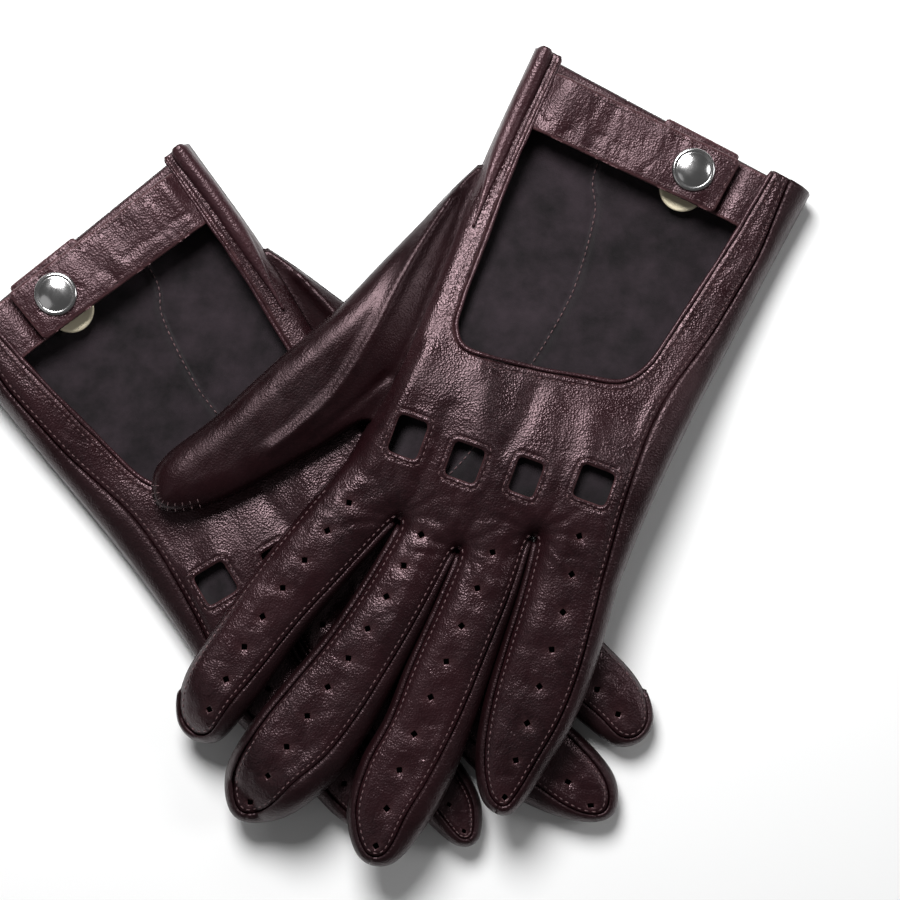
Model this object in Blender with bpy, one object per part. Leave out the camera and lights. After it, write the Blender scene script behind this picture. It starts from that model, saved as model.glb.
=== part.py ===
"""A pair of leather driving gloves, backs up, the left glove lying across the right one.

Both gloves are cut from one pattern. The pattern is drawn in millimetres in a glove's own plane: s runs across
the hand from the thumb side to the little finger, v runs from the cuff to the fingertips, and h is the height
above the surface that the glove lies on. place() turns a pattern point into world coordinates in metres.
"""

import math

import bpy
import numpy as np
from mathutils import Vector
from mathutils.geometry import delaunay_2d_cdt

MM = 0.001

# Leather and gaps, mm
LEATHER = 1.1
GAP = 0.3
STRIP_GAP = 0.6
SIDE_THICKNESS = 0.9
OUTLINE_STEP = 7.0
GRID_STEP = 15.0
EDGE_CLEARANCE = 3.5

# Heights above the glove's own base, mm
HAND_HEIGHT = 12.0
CUFF_HEIGHT = 15.0
TIP_HEIGHT = 10.8
CUFF_SLOPE_V = (25.0, 60.0)
TIP_SLOPE_V = (140.0, 195.0)

# Where the upper glove lies: on the lower glove past the crossing, on the table at its cuff
CROSSING_HEIGHT = 13.0
TABLE_CLEARANCE = 0.3
CROSSING_SLOPE_V = (15.0, 102.0)
DROOP_STARTS = 46.0
DROOP_RATE = 0.035
DROOP_MOST = 8.0

# Each glove's cuff midpoint in the world, mm, and the angle of its fingers from -Y
LEFT_CUFF = (84.7, 95.9)
LEFT_TURN = math.radians(28.3)
RIGHT_CUFF = (-89.6, 61.2)
RIGHT_TURN = math.radians(39.2)

# How the lower glove's fingers are gathered: drawn back along v and in towards the middle
GATHER_STARTS_V = 125.0
GATHER_LEAST = 0.06
GATHER_MORE = 0.13
GATHER_S = (-25.0, 20.0)
INWARD_SHIFT = 9.5
INWARD_S = (5.0, 45.0)
INWARD_V = 50.0

# The pattern, mm
THUMB_SIDE = [(-44.6, 0.0), (-42.3, 35.6), (-37.9, 69.0), (-34.9, 101.0), (-35.8, 130.8)]
LITTLE_SIDE = [(48.4, 126.0), (45.9, 103.4), (44.6, 76.0), (44.6, 38.0), (44.6, 0.0)]
FINGERS = {
    "index": [(-35.8, 130.8), (-39.4, 146.3), (-43.4, 168.0), (-46.2, 190.0), (-47.2, 207.0), (-43.6, 218.4),
              (-37.0, 221.9), (-30.6, 218.2), (-27.6, 206.0), (-25.6, 192.0), (-23.6, 177.0), (-19.6, 158.0),
              (-15.7, 140.0)],
    "middle": [(-13.7, 140.0), (-14.6, 158.0), (-16.8, 177.0), (-20.4, 194.0), (-23.6, 211.0), (-23.4, 226.0),
               (-16.8, 235.3), (-8.8, 233.8), (-1.2, 224.5), (4.2, 210.0), (5.6, 196.0), (5.6, 180.0),
               (5.0, 160.0), (3.4, 139.4)],
    "ring": [(5.0, 139.4), (6.4, 158.0), (7.4, 174.0), (9.2, 190.0), (9.0, 204.0), (12.4, 218.4),
             (21.2, 227.8), (29.4, 225.2), (32.6, 212.0), (33.0, 199.0), (31.0, 180.0), (27.2, 158.0),
             (24.0, 140.0),
             (20.8, 126.0)],
    "little": [(22.4, 126.0), (25.6, 140.0), (28.8, 158.0), (32.2, 174.0), (37.4, 188.0), (44.6, 197.0),
               (51.6, 197.6), (54.2, 190.0), (55.0, 180.0), (55.6, 168.0), (54.6, 155.0), (51.6, 139.8),
               (48.4, 126.0)],
}
FINGER_TIPS = {"index": (-37.0, 221.9), "middle": (-13.0, 235.8), "ring": (24.0, 228.2),
               "little": (48.5, 198.8)}
CROTCH_DEPTH = 2.2
CROTCH_CLEARANCE = 1.5
TIP_CLEARANCE = 1.0
THUMB = [(-43.2, 38.0), (-46.3, 48.0), (-49.8, 61.8), (-53.8, 76.5), (-58.6, 94.0), (-67.4, 117.0),
         (-74.7, 137.9),
         (-81.6, 153.5), (-82.0, 161.5), (-77.6, 167.6), (-71.0, 166.4), (-62.8, 159.0), (-53.8, 146.5),
         (-44.8, 132.3), (-37.2, 119.0)]
THUMB_OPENING_V = (38.0, 119.0)
THUMB_OPENING_MARGIN = 2.0
STRIP_TO_THUMB = 1.0
THUMB_HEIGHT = 10.8
THUMB_JOIN = 0.6
WINDOW = [(-36.8, -2.0), (-35.2, 20.0), (-33.4, 40.0), (-30.5, 60.0), (-28.2, 76.0), (-26.0, 83.5),
          (-19.5, 87.0),
          (-2.4, 83.0), (12.0, 78.4), (22.0, 74.6), (26.6, 68.0), (28.4, 58.0), (30.0, 40.0), (31.6, 20.0),
          (32.4, -2.0)]
KNUCKLE_HOLES = [(-23.4, 116.7, 8.2, 11.0), (-5.9, 115.4, 8.6, 10.0), (11.2, 110.9, 7.0, 10.0),
                 (29.1, 103.8, 9.3, 9.6)]
KNUCKLE_HOLE_TURN = math.radians(-8.0)
WINDOW_STARTS_V = 0.5
WINDOW_LIP_MARGIN = 1.0
PALM_SEAM = [(-14.0, 0.0), (-12.5, 23.8), (-7.0, 34.0), (-3.0, 50.2), (-1.6, 62.7), (-2.5, 82.4),
             (-6.0, 112.0),
             (-12.0, 131.0), (-14.7, 136.6)]

# Strap, tab and snap fastener, mm
STRAP = [(-32.8, 4.1), (22.9, -0.2), (23.4, 19.1), (-32.8, 23.4)]
STRAP_HEIGHT = (14.0, 15.4)
STRAP_HINGE = (-32.8, 13.75, 15.6)
TAB_END_S = 5.0
TAB_ROOT_S = 29.6
TAB_STEP_S = (19.5, 27.0)
TAB_V = (1.0, 18.8)
TAB_HEIGHTS = (10.0, 13.6)
TAB_THICKNESS = 0.9
SNAP = (12.0, 10.9)
POST_RADIUS = 1.5
POST_HOLE_RADIUS = 1.9
POST_HOLE_SIDES = 10
CAP_RADIUS = 6.25
CAP_EDGE = 0.5
CAP_RIM_HEIGHTS = (0.8, 1.5)
CAP_CROWN = (0.6, 2.2)
CAP_HEIGHT = 2.4
CAP_POST_IN_STRAP = 0.2
SOCKET_RADIUS = 5.0
SOCKET_EDGE = 0.5
SOCKET_ROOF = 0.9
STUD_HEAD_RADIUS = 1.9
STUD_HEAD_BEVEL = 0.5
STUD_HEAD_HEIGHT = 1.5
STUD_CLEARANCE = 0.35
STUD_FOOT = 0.1
BACK_PLATE_RADIUS = 6.7
BACK_PLATE_SHIFT = 5.3
BACK_PLATE_THICKNESS = 0.8
BACK_PLATE_BEVEL = 0.3
ROUND_SIDES = 20
SHARP_EDGE = math.radians(40.0)

ROLL_INSET = 4.4
ROLL_WIDTH = 3.0
ROLL_HEIGHT = 2.0
ROLL_V = (1.5, 55.0)
BINDING_WIDTH = 1.5
HEM_V = 2.2
HEM_WIDTH = 3.2
HEM_THICKNESS = 0.9
LOOP_THICKNESS = 0.8
LOOP = [(-1.4, -1.0), (22.4, -1.0), (22.4, 4.6), (-1.4, 4.6)]

LEATHER_COLOUR = (0.045, 0.017, 0.022, 1.0)
SUEDE_COLOUR = (0.030, 0.021, 0.030, 1.0)
NICKEL_COLOUR = (0.62, 0.60, 0.58, 1.0)
BRASS_COLOUR = (0.80, 0.66, 0.36, 1.0)
LEATHER_ROUGHNESS = 0.42
SUEDE_ROUGHNESS = 0.9
POLISHED_ROUGHNESS = 0.16
SATIN_ROUGHNESS = 0.28


def smoothstep(low, high, value):
    t = np.clip((value - low) / (high - low), 0.0, 1.0)
    return t * t * (3.0 - 2.0 * t)


def glove_axes(side):
    """A glove's cuff midpoint and the world directions of its s and v."""
    if side == "left":
        turn = LEFT_TURN
        return np.array(LEFT_CUFF), np.array([math.cos(turn), -math.sin(turn)]), \
            np.array([-math.sin(turn), -math.cos(turn)])
    turn = RIGHT_TURN
    return np.array(RIGHT_CUFF), np.array([-math.cos(turn), -math.sin(turn)]), \
        np.array([math.sin(turn), -math.cos(turn)])


def base_height(side, plan, v):
    """How far the underside of a glove lies above the table at a world plan position."""
    if side == "right":
        return np.zeros(len(plan))
    cuff, across, _ = glove_axes("right")
    past = np.maximum(0.0, (plan - cuff) @ across - DROOP_STARTS)
    droop = np.minimum(DROOP_MOST, DROOP_RATE * past * past)
    rise = smoothstep(*CROSSING_SLOPE_V, v)
    return TABLE_CLEARANCE + (CROSSING_HEIGHT - TABLE_CLEARANCE) * rise - droop


def gathered(points):
    """Pattern points of the lower glove with its fingers gathered."""
    s, v, h = points.T
    past = np.maximum(0.0, v - GATHER_STARTS_V)
    shortening = GATHER_LEAST + GATHER_MORE * smoothstep(*GATHER_S, s)
    inward = INWARD_SHIFT * smoothstep(*INWARD_S, s) * smoothstep(0.0, INWARD_V, past)
    return np.column_stack([s - inward, v - past * shortening, h])


def place(side, points):
    """Pattern points (s, v, h) in millimetres as world points in metres."""
    points = np.asarray(points, float)
    if side == "right":
        points = gathered(points)
    cuff, across, along = glove_axes(side)
    plan = cuff + points[:, :1] * across + points[:, 1:2] * along
    height = base_height(side, plan, points[:, 1]) + points[:, 2]
    return np.column_stack([plan, height]) * MM


def material(name, colour, roughness, metallic):
    made = bpy.data.materials.new(name)
    made.use_nodes = True
    shader = made.node_tree.nodes["Principled BSDF"]
    shader.inputs["Base Color"].default_value = colour
    shader.inputs["Roughness"].default_value = roughness
    shader.inputs["Metallic"].default_value = metallic
    return made


def leather(name):
    return material(name, LEATHER_COLOUR, LEATHER_ROUGHNESS, 0.0)


def add_object(name, side, points, faces, surface, on_strap=False):
    """A closed mesh from pattern points, wound outwards. Strap pieces have their origin on the hinge."""
    world = place(side, points)
    faces = np.asarray(faces)
    corners = world[faces]
    volume = np.einsum("ij,ij->i", corners[:, 0], np.cross(corners[:, 1], corners[:, 2])).sum()
    if volume < 0.0:
        faces = faces[:, ::-1]
    origin = place(side, [STRAP_HINGE])[0] if on_strap else np.zeros(3)
    mesh = bpy.data.meshes.new(name)
    mesh.from_pydata((world - origin).tolist(), [], faces.tolist())
    mesh.update()
    made = bpy.data.objects.new(name, mesh)
    made.location = origin.tolist()
    made.data.materials.append(surface)
    bpy.context.scene.collection.objects.link(made)
    return made


def smooth_line(points, step):
    """Points about step apart along a smooth curve through the given points."""
    points = np.asarray(points, float)
    padded = np.vstack([2 * points[0] - points[1], points, 2 * points[-1] - points[-2]])
    t = np.linspace(0.0, 1.0, 16, endpoint=False)[:, None]
    dense = []
    for a, b, c, d in zip(padded, padded[1:], padded[2:], padded[3:]):
        dense.append(0.5 * (2 * b + (c - a) * t + (2 * a - 5 * b + 4 * c - d) * t ** 2
                            + (3 * b - a - 3 * c + d) * t ** 3))
    dense = np.vstack(dense + [points[-1:]])
    reach = np.concatenate([[0.0], np.cumsum(np.linalg.norm(np.diff(dense, axis=0), axis=1))])
    count = max(2, round(reach[-1] / step) + 1)
    wanted = np.linspace(0.0, reach[-1], count)
    return np.column_stack([np.interp(wanted, reach, dense[:, 0]), np.interp(wanted, reach, dense[:, 1])])


def inside(points, polygon):
    """Which points lie inside a polygon, by counting crossings."""
    ends = np.roll(polygon, -1, axis=0)
    result = np.zeros(len(points), bool)
    for (ax, ay), (bx, by) in zip(polygon, ends):
        if ay == by:
            continue
        crosses = (points[:, 1] > min(ay, by)) & (points[:, 1] <= max(ay, by))
        at = ax + (points[:, 1] - ay) * (bx - ax) / (by - ay)
        result ^= crosses & (points[:, 0] < at)
    return result


def edge_distance(points, starts, ends):
    """Distance from each point to the nearest segment."""
    run = ends - starts
    offset = points[:, None, :] - starts[None]
    length_squared = np.maximum((run ** 2).sum(1), 1e-12)
    t = np.clip((offset * run[None]).sum(2) / length_squared, 0.0, 1.0)
    return np.linalg.norm(offset - t[:, :, None] * run[None], axis=2).min(1)


class HandOutline:
    """The hand's outline from the cuff's thumb side to its little-finger side, with each finger's stretch."""

    def __init__(self):
        self.thumb_side = smooth_line(THUMB_SIDE, OUTLINE_STEP)
        self.little_side = smooth_line(LITTLE_SIDE, OUTLINE_STEP)
        self.fingers = {}
        points = [self.thumb_side[:-1]]
        names = list(FINGERS)
        for number, finger in enumerate(names):
            curve = smooth_line(FINGERS[finger], OUTLINE_STEP)
            tip = int(np.linalg.norm(curve - FINGER_TIPS[finger], axis=1).argmin())
            self.fingers[finger] = (curve, tip)
            points.append(curve)
            if finger != names[-1]:
                following = np.array(FINGERS[names[number + 1]][0])
                points.append(((curve[-1] + following) / 2 - [0.0, CROTCH_DEPTH])[None])
        points.append(self.little_side[1:])
        self.points = np.vstack(points)


def full_height(v):
    """The height of the back's outer face."""
    at_cuff = CUFF_HEIGHT - HAND_HEIGHT
    at_tips = HAND_HEIGHT - TIP_HEIGHT
    return HAND_HEIGHT + at_cuff * (1 - smoothstep(*CUFF_SLOPE_V, v)) - at_tips * smoothstep(*TIP_SLOPE_V, v)


def back_top(points):
    return full_height(points[:, 1])


def palm_top(points):
    return np.full(len(points), LEATHER)


def inner_points(boundary, holes):
    """A sparse grid of points inside a sheet, so that it can bend."""
    low, high = boundary.min(0), boundary.max(0)
    grid = np.array([(x, y) for x in np.arange(low[0], high[0], GRID_STEP)
                     for y in np.arange(low[1], high[1], GRID_STEP)])
    loops = [boundary] + holes
    starts = np.vstack(loops)
    ends = np.vstack([np.roll(loop, -1, axis=0) for loop in loops])
    keep = inside(grid, boundary) & (edge_distance(grid, starts, ends) > EDGE_CLEARANCE)
    for hole in holes:
        keep &= ~inside(grid, hole)
    return grid[keep]


def sheet(name, side, boundary, holes, top_of, thickness, surface, on_strap=False):
    """A sheet of leather: an outline with holes, its outer face at top_of, its inner one below."""
    loops = [boundary] + holes
    fixed = np.vstack(loops)
    points = np.vstack([fixed, inner_points(boundary, holes)])
    edges, start = [], 0
    for loop in loops:
        edges += [(start + i, start + (i + 1) % len(loop)) for i in range(len(loop))]
        start += len(loop)
    result = delaunay_2d_cdt([Vector(p) for p in points], edges, [], 0, 1e-5)
    flat = np.array([tuple(p) for p in result[0]])
    faces = np.array(result[2])
    middles = flat[faces].mean(1)
    keep = inside(middles, boundary)
    for hole in holes:
        keep &= ~inside(middles, hole)
    faces = faces[keep]
    used, renumbered = np.unique(faces, return_inverse=True)
    flat, faces = flat[used], renumbered.reshape(faces.shape)
    top = top_of(flat)
    count = len(flat)
    solid_points = np.vstack([np.column_stack([flat, top]), np.column_stack([flat, top - thickness])])
    directed = {(int(f[i]), int(f[(i + 1) % 3])) for f in faces for i in range(3)}
    rim = [(a, b) for a, b in sorted(directed) if (b, a) not in directed]
    solid_faces = [tuple(f) for f in faces]
    solid_faces += [tuple(int(i) + count for i in f[::-1]) for f in faces]
    for a, b in rim:
        solid_faces += [(b, a, a + count), (b, a + count, b + count)]
    return add_object(name, side, solid_points, solid_faces, surface, on_strap)


def ribbon(name, side, line, widths, heights, surface):
    """A strip along a line: widths are its two edges' offsets to the line's right, heights its two faces."""
    run = np.gradient(line, axis=0)
    run /= np.linalg.norm(run, axis=1)[:, None]
    normal = np.column_stack([run[:, 1], -run[:, 0]])
    low, high = heights
    stations = []
    for width, height in ((widths[0], low), (widths[1], low), (widths[1], high), (widths[0], high)):
        stations.append(np.column_stack([line + normal * width, np.broadcast_to(height, len(line))]))
    points = np.stack(stations, axis=1).reshape(-1, 3)
    faces = []
    for i in range(len(line) - 1):
        for j in range(4):
            a, b = 4 * i + j, 4 * i + (j + 1) % 4
            faces += [(a, b, b + 4), (a, b + 4, a + 4)]
    last = 4 * (len(line) - 1)
    faces += [(0, 2, 1), (0, 3, 2), (last, last + 1, last + 2), (last, last + 2, last + 3)]
    return add_object(name, side, points, faces, surface)


def circle(centre, radius, sides):
    turn = np.linspace(0.0, 2 * math.pi, sides, endpoint=False)
    return np.column_stack([centre[0] + radius * np.cos(turn), centre[1] + radius * np.sin(turn)])


def turned(name, side, centre, profile, surface, on_strap=False):
    """A round piece about an upright axis. Its profile of (radius, height) starts and ends on the axis."""
    rings = [circle(centre, radius, ROUND_SIDES) for radius, _ in profile[1:-1]]
    points = [(*centre, profile[0][1])]
    for ring, (_, height) in zip(rings, profile[1:-1]):
        points += [(s, v, height) for s, v in ring]
    points.append((*centre, profile[-1][1]))
    faces = []
    for i in range(ROUND_SIDES):
        j = (i + 1) % ROUND_SIDES
        faces.append((0, 1 + j, 1 + i))
        for k in range(len(rings) - 1):
            a, b = 1 + k * ROUND_SIDES, 1 + (k + 1) * ROUND_SIDES
            faces += [(a + i, a + j, b + j), (a + i, b + j, b + i)]
        a = 1 + (len(rings) - 1) * ROUND_SIDES
        faces.append((a + i, a + j, len(points) - 1))
    made = add_object(name, side, points, faces, surface, on_strap)
    made.data.shade_smooth()
    made.data.set_sharp_from_angle(angle=SHARP_EDGE)
    return made


def knuckle_hole(s, v, width, height):
    """A slightly turned rectangle."""
    cos, sin = math.cos(KNUCKLE_HOLE_TURN), math.sin(KNUCKLE_HOLE_TURN)
    corners = [(-width / 2, -height / 2), (width / 2, -height / 2), (width / 2, height / 2),
               (-width / 2, height / 2)]
    return np.array([(s + x * cos - y * sin, v + x * sin + y * cos) for x, y in corners])


def build_back(side, outline):
    cuff_edge = smooth_line([outline.points[-1], outline.points[0]], OUTLINE_STEP)[1:-1]
    window = smooth_line(WINDOW, OUTLINE_STEP)
    window = window[window[:, 1] > WINDOW_STARTS_V]
    left_lip = cuff_edge[cuff_edge[:, 0] < WINDOW[0][0] - WINDOW_LIP_MARGIN]
    right_lip = cuff_edge[cuff_edge[:, 0] > WINDOW[-1][0] + WINDOW_LIP_MARGIN]
    window_mouth = np.array([WINDOW[0], WINDOW[-1]]) * [1.0, 0.0]
    boundary = np.vstack([outline.points, right_lip, window_mouth[1:], window[::-1], window_mouth[:1],
                          left_lip])
    holes = [knuckle_hole(*hole) for hole in KNUCKLE_HOLES]
    sheet(f"{side}_back_panel", side, boundary, holes, back_top, LEATHER, leather("back leather"))


def build_palm(side, outline):
    seam = smooth_line(PALM_SEAM, OUTLINE_STEP)
    end_of_index = int(np.linalg.norm(outline.points - outline.fingers["index"][0][-1], axis=1).argmin())
    cuff_s = PALM_SEAM[0][0]
    thumb_cuff = np.array([(s, 0.0) for s in np.linspace(cuff_s, THUMB_SIDE[0][0], 5)[1:-1]])
    little_cuff = np.array([(s, 0.0) for s in np.linspace(LITTLE_SIDE[-1][0], cuff_s, 9)[1:-1]])
    thumb_part = np.vstack([outline.points[:end_of_index + 1], seam[::-1] - [GAP / 2, 0.0], thumb_cuff])
    little_part = np.vstack([seam + [GAP / 2, 0.0], outline.points[end_of_index + 2:], little_cuff])
    for name, boundary in (("palm_thumb_side", thumb_part), ("palm_little_side", little_part)):
        sheet(f"{side}_{name}", side, boundary, [], palm_top, LEATHER,
              material(name + " suede", SUEDE_COLOUR, SUEDE_ROUGHNESS, 0.0))


def side_strip(name, side, line, back_height, surface):
    """An upright strip of leather just inside an outline, from the palm up to the back."""
    heights = (LEATHER + STRIP_GAP, back_height - LEATHER - STRIP_GAP)
    ribbon(name, side, line, (0.0, SIDE_THICKNESS), heights, surface)


def shortened(line, start, end):
    """A line with its first and last points moved inwards along it."""
    line = line.copy()
    first, last = line[1] - line[0], line[-1] - line[-2]
    line[0] += first / np.linalg.norm(first) * start
    line[-1] -= last / np.linalg.norm(last) * end
    return line


def build_thumb(side, outline):
    curve = smooth_line(THUMB, OUTLINE_STEP)
    hand = outline.thumb_side
    first, last = THUMB_OPENING_V
    join = hand[(hand[:, 1] > first + THUMB_OPENING_MARGIN) & (hand[:, 1] < last - THUMB_OPENING_MARGIN)]
    boundary = np.vstack([curve, join[::-1] - [THUMB_JOIN, 0.0]])
    sheet(f"{side}_thumb_back", side, boundary, [], lambda p: np.full(len(p), THUMB_HEIGHT), LEATHER,
          leather("thumb leather"))
    sheet(f"{side}_thumb_palm", side, boundary, [], palm_top, LEATHER, leather("thumb palm leather"))
    side_strip(f"{side}_thumb_side_strip", side, shortened(curve, THUMB_JOIN, THUMB_JOIN),
               np.full(len(curve), THUMB_HEIGHT), leather("thumb strip leather"))


def build_sides(side, outline):
    """The fourchettes between the fingers, and the strips that close the hand's two outer sides."""
    strips = {}
    for finger, (curve, tip) in outline.fingers.items():
        strips[f"{finger}_fourchette_thumb_side"] = shortened(curve[:tip + 1], CROTCH_CLEARANCE,
                                                              TIP_CLEARANCE)
        strips[f"{finger}_fourchette_little_side"] = shortened(curve[tip:], TIP_CLEARANCE, CROTCH_CLEARANCE)
    index_side = strips.pop("index_fourchette_thumb_side")
    little_side = strips.pop("little_fourchette_little_side")
    edge = outline.thumb_side
    above_thumb = edge[edge[:, 1] > THUMB_OPENING_V[1] + STRIP_TO_THUMB]
    below_thumb = edge[edge[:, 1] < THUMB_OPENING_V[0] - STRIP_TO_THUMB]
    strips["index_side_strip"] = np.vstack([above_thumb[:-1], index_side])
    strips["cuff_side_strip"] = shortened(below_thumb, GAP, 0.0)
    strips["little_side_strip"] = shortened(np.vstack([little_side[:-1], outline.little_side]), 0.0, GAP)
    for name, line in strips.items():
        side_strip(f"{side}_{name}", side, line, full_height(line[:, 1]), leather(name + " leather"))


def build_edgings(side, outline):
    window = smooth_line(WINDOW, OUTLINE_STEP)
    window = window[window[:, 1] > WINDOW_STARTS_V]
    top = full_height(window[:, 1]) + GAP / 2
    ribbon(f"{side}_window_binding", side, window, (GAP, GAP + BINDING_WIDTH), (top - LEATHER, top),
           leather("binding leather"))
    edge = smooth_line(THUMB_SIDE, OUTLINE_STEP)
    edge = edge[(edge[:, 1] > ROLL_V[0]) & (edge[:, 1] < ROLL_V[1])]
    low = full_height(edge[:, 1]) + GAP
    ribbon(f"{side}_rolled_cuff_edge", side, edge, (ROLL_INSET, ROLL_INSET + ROLL_WIDTH),
           (low, low + ROLL_HEIGHT),
           leather("rolled edge leather"))
    hem_end = -WINDOW[0][0]
    hem = smooth_line([(-hem_end, HEM_V), (hem_end, HEM_V)], OUTLINE_STEP)
    hem_low = LEATHER + GAP
    hem_high = hem_low + HEM_THICKNESS
    ribbon(f"{side}_palm_cuff_hem", side, hem, (-HEM_WIDTH / 2, HEM_WIDTH / 2), (hem_low, hem_high),
           leather("hem leather"))
    loop_top = hem_high + GAP + LOOP_THICKNESS
    sheet(f"{side}_cuff_tab", side, np.array(LOOP), [], lambda p: np.full(len(p), loop_top), LOOP_THICKNESS,
          leather("cuff tab leather"))


def build_strap(side):
    low, high = STRAP_HEIGHT
    outline = np.vstack([smooth_line(STRAP[i:i + 2], OUTLINE_STEP)[:-1] for i in (0, 1, 2)]
                        + [smooth_line([STRAP[3], STRAP[0]], OUTLINE_STEP)[:-1]])
    sheet(f"{side}_strap", side, outline, [circle(SNAP, POST_HOLE_RADIUS, POST_HOLE_SIDES)],
          lambda p: np.full(len(p), high), high - low, leather("strap leather"), on_strap=True)
    rim_low, rim_high = CAP_RIM_HEIGHTS
    crown_part, crown_height = CAP_CROWN
    cap = [(0.0, low + CAP_POST_IN_STRAP), (POST_RADIUS, low + CAP_POST_IN_STRAP), (POST_RADIUS, high + GAP),
           (CAP_RADIUS - CAP_EDGE, high + GAP), (CAP_RADIUS, high + rim_low),
           (CAP_RADIUS - CAP_EDGE, high + rim_high), (CAP_RADIUS * crown_part, high + crown_height),
           (0.0, high + CAP_HEIGHT)]
    turned(f"{side}_snap_cap", side, SNAP, cap,
           material("polished nickel", NICKEL_COLOUR, POLISHED_ROUGHNESS, 1.0), on_strap=True)
    top = low - GAP
    bottom = TAB_HEIGHTS[0] + TAB_THICKNESS + 2 * GAP
    bore = STUD_HEAD_RADIUS + STUD_CLEARANCE
    socket = [(0.0, top), (SOCKET_RADIUS - SOCKET_EDGE, top), (SOCKET_RADIUS, top - SOCKET_EDGE),
              (SOCKET_RADIUS, bottom + GAP), (SOCKET_RADIUS - SOCKET_EDGE, bottom), (bore, bottom),
              (bore, top - SOCKET_ROOF), (0.0, top - SOCKET_ROOF)]
    turned(f"{side}_snap_socket", side, SNAP, socket,
           material("socket nickel", NICKEL_COLOUR, SATIN_ROUGHNESS, 1.0), on_strap=True)


def build_tab(side):
    def top_of(points):
        low, high = TAB_HEIGHTS
        return low + TAB_THICKNESS + (high - low) * smoothstep(*TAB_STEP_S, points[:, 0])

    near, far = TAB_V
    stations = np.linspace(TAB_END_S, TAB_ROOT_S, 8)
    boundary = np.array([(s, near) for s in stations] + [(s, far) for s in stations[::-1]])
    sheet(f"{side}_strap_tab", side, boundary, [circle(SNAP, POST_HOLE_RADIUS, POST_HOLE_SIDES)], top_of,
          TAB_THICKNESS, leather("tab leather"))
    low = TAB_HEIGHTS[0]
    tab_top = low + TAB_THICKNESS
    head = tab_top + STUD_HEAD_HEIGHT
    stud = [(0.0, low + STUD_FOOT), (POST_RADIUS, low + STUD_FOOT), (POST_RADIUS, tab_top + STUD_HEAD_BEVEL),
            (STUD_HEAD_RADIUS, head - STUD_HEAD_BEVEL), (STUD_HEAD_RADIUS - STUD_HEAD_BEVEL, head),
            (0.0, head)]
    turned(f"{side}_snap_stud", side, SNAP, stud, material("stud nickel", NICKEL_COLOUR, SATIN_ROUGHNESS,
                                                           1.0))
    plate_top = low - GAP
    plate_bottom = plate_top - BACK_PLATE_THICKNESS
    plate_middle = (plate_top + plate_bottom) / 2
    plate = [(0.0, plate_bottom), (BACK_PLATE_RADIUS - BACK_PLATE_BEVEL, plate_bottom),
             (BACK_PLATE_RADIUS, plate_middle), (BACK_PLATE_RADIUS - BACK_PLATE_BEVEL, plate_top),
             (0.0, plate_top)]
    turned(f"{side}_snap_back_plate", side, (SNAP[0], SNAP[1] + BACK_PLATE_SHIFT), plate,
           material("brass", BRASS_COLOUR, SATIN_ROUGHNESS, 1.0))


def main():
    for old in list(bpy.data.objects):
        bpy.data.objects.remove(old)
    outline = HandOutline()
    for side in ("right", "left"):
        build_back(side, outline)
        build_palm(side, outline)
        build_thumb(side, outline)
        build_sides(side, outline)
        build_edgings(side, outline)
        build_strap(side)
        build_tab(side)


main()
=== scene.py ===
"""Looks of a pair of leather driving gloves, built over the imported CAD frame.

Both gloves come from one pattern, drawn in millimetres in a glove's own plane: s runs across the hand from
the thumb side to the little finger, v from the cuff to the fingertips, h up. place() turns pattern points
into the frame.
"""

import math

import bpy
import numpy as np
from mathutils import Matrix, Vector, kdtree
from mathutils.geometry import delaunay_2d_cdt


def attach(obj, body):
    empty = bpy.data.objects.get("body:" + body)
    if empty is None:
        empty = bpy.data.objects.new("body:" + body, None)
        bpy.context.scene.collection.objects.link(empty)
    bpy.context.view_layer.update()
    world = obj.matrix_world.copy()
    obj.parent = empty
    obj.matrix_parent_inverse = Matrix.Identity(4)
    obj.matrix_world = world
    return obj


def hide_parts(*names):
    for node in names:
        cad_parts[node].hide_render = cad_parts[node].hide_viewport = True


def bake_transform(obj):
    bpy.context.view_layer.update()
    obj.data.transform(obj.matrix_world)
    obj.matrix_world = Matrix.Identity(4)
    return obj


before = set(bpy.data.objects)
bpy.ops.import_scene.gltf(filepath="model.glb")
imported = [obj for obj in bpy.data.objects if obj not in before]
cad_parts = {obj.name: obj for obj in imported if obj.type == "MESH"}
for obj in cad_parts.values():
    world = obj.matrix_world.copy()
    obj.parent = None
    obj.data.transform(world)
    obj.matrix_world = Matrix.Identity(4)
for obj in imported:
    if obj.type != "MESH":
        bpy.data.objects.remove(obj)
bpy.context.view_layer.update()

MM = 0.001

# ---------------------------------------------------------------- the pattern, as in the CAD model

HAND_HEIGHT = 12.0
CUFF_HEIGHT = 15.0
TIP_HEIGHT = 10.8
CUFF_SLOPE_V = (25.0, 60.0)
TIP_SLOPE_V = (140.0, 195.0)
CROSSING_HEIGHT = 13.0
TABLE_CLEARANCE = 0.3
CROSSING_SLOPE_V = (15.0, 102.0)
DROOP_STARTS = 46.0
DROOP_RATE = 0.035
DROOP_MOST = 8.0
CUFFS = {"left": (84.7, 95.9), "right": (-89.6, 61.2)}
TURNS = {"left": math.radians(28.3), "right": math.radians(39.2)}
GATHER_STARTS_V = 125.0
GATHER_LEAST = 0.06
GATHER_MORE = 0.13
GATHER_S = (-25.0, 20.0)
INWARD_SHIFT = 9.5
INWARD_S = (5.0, 45.0)
INWARD_V = 50.0

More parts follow.
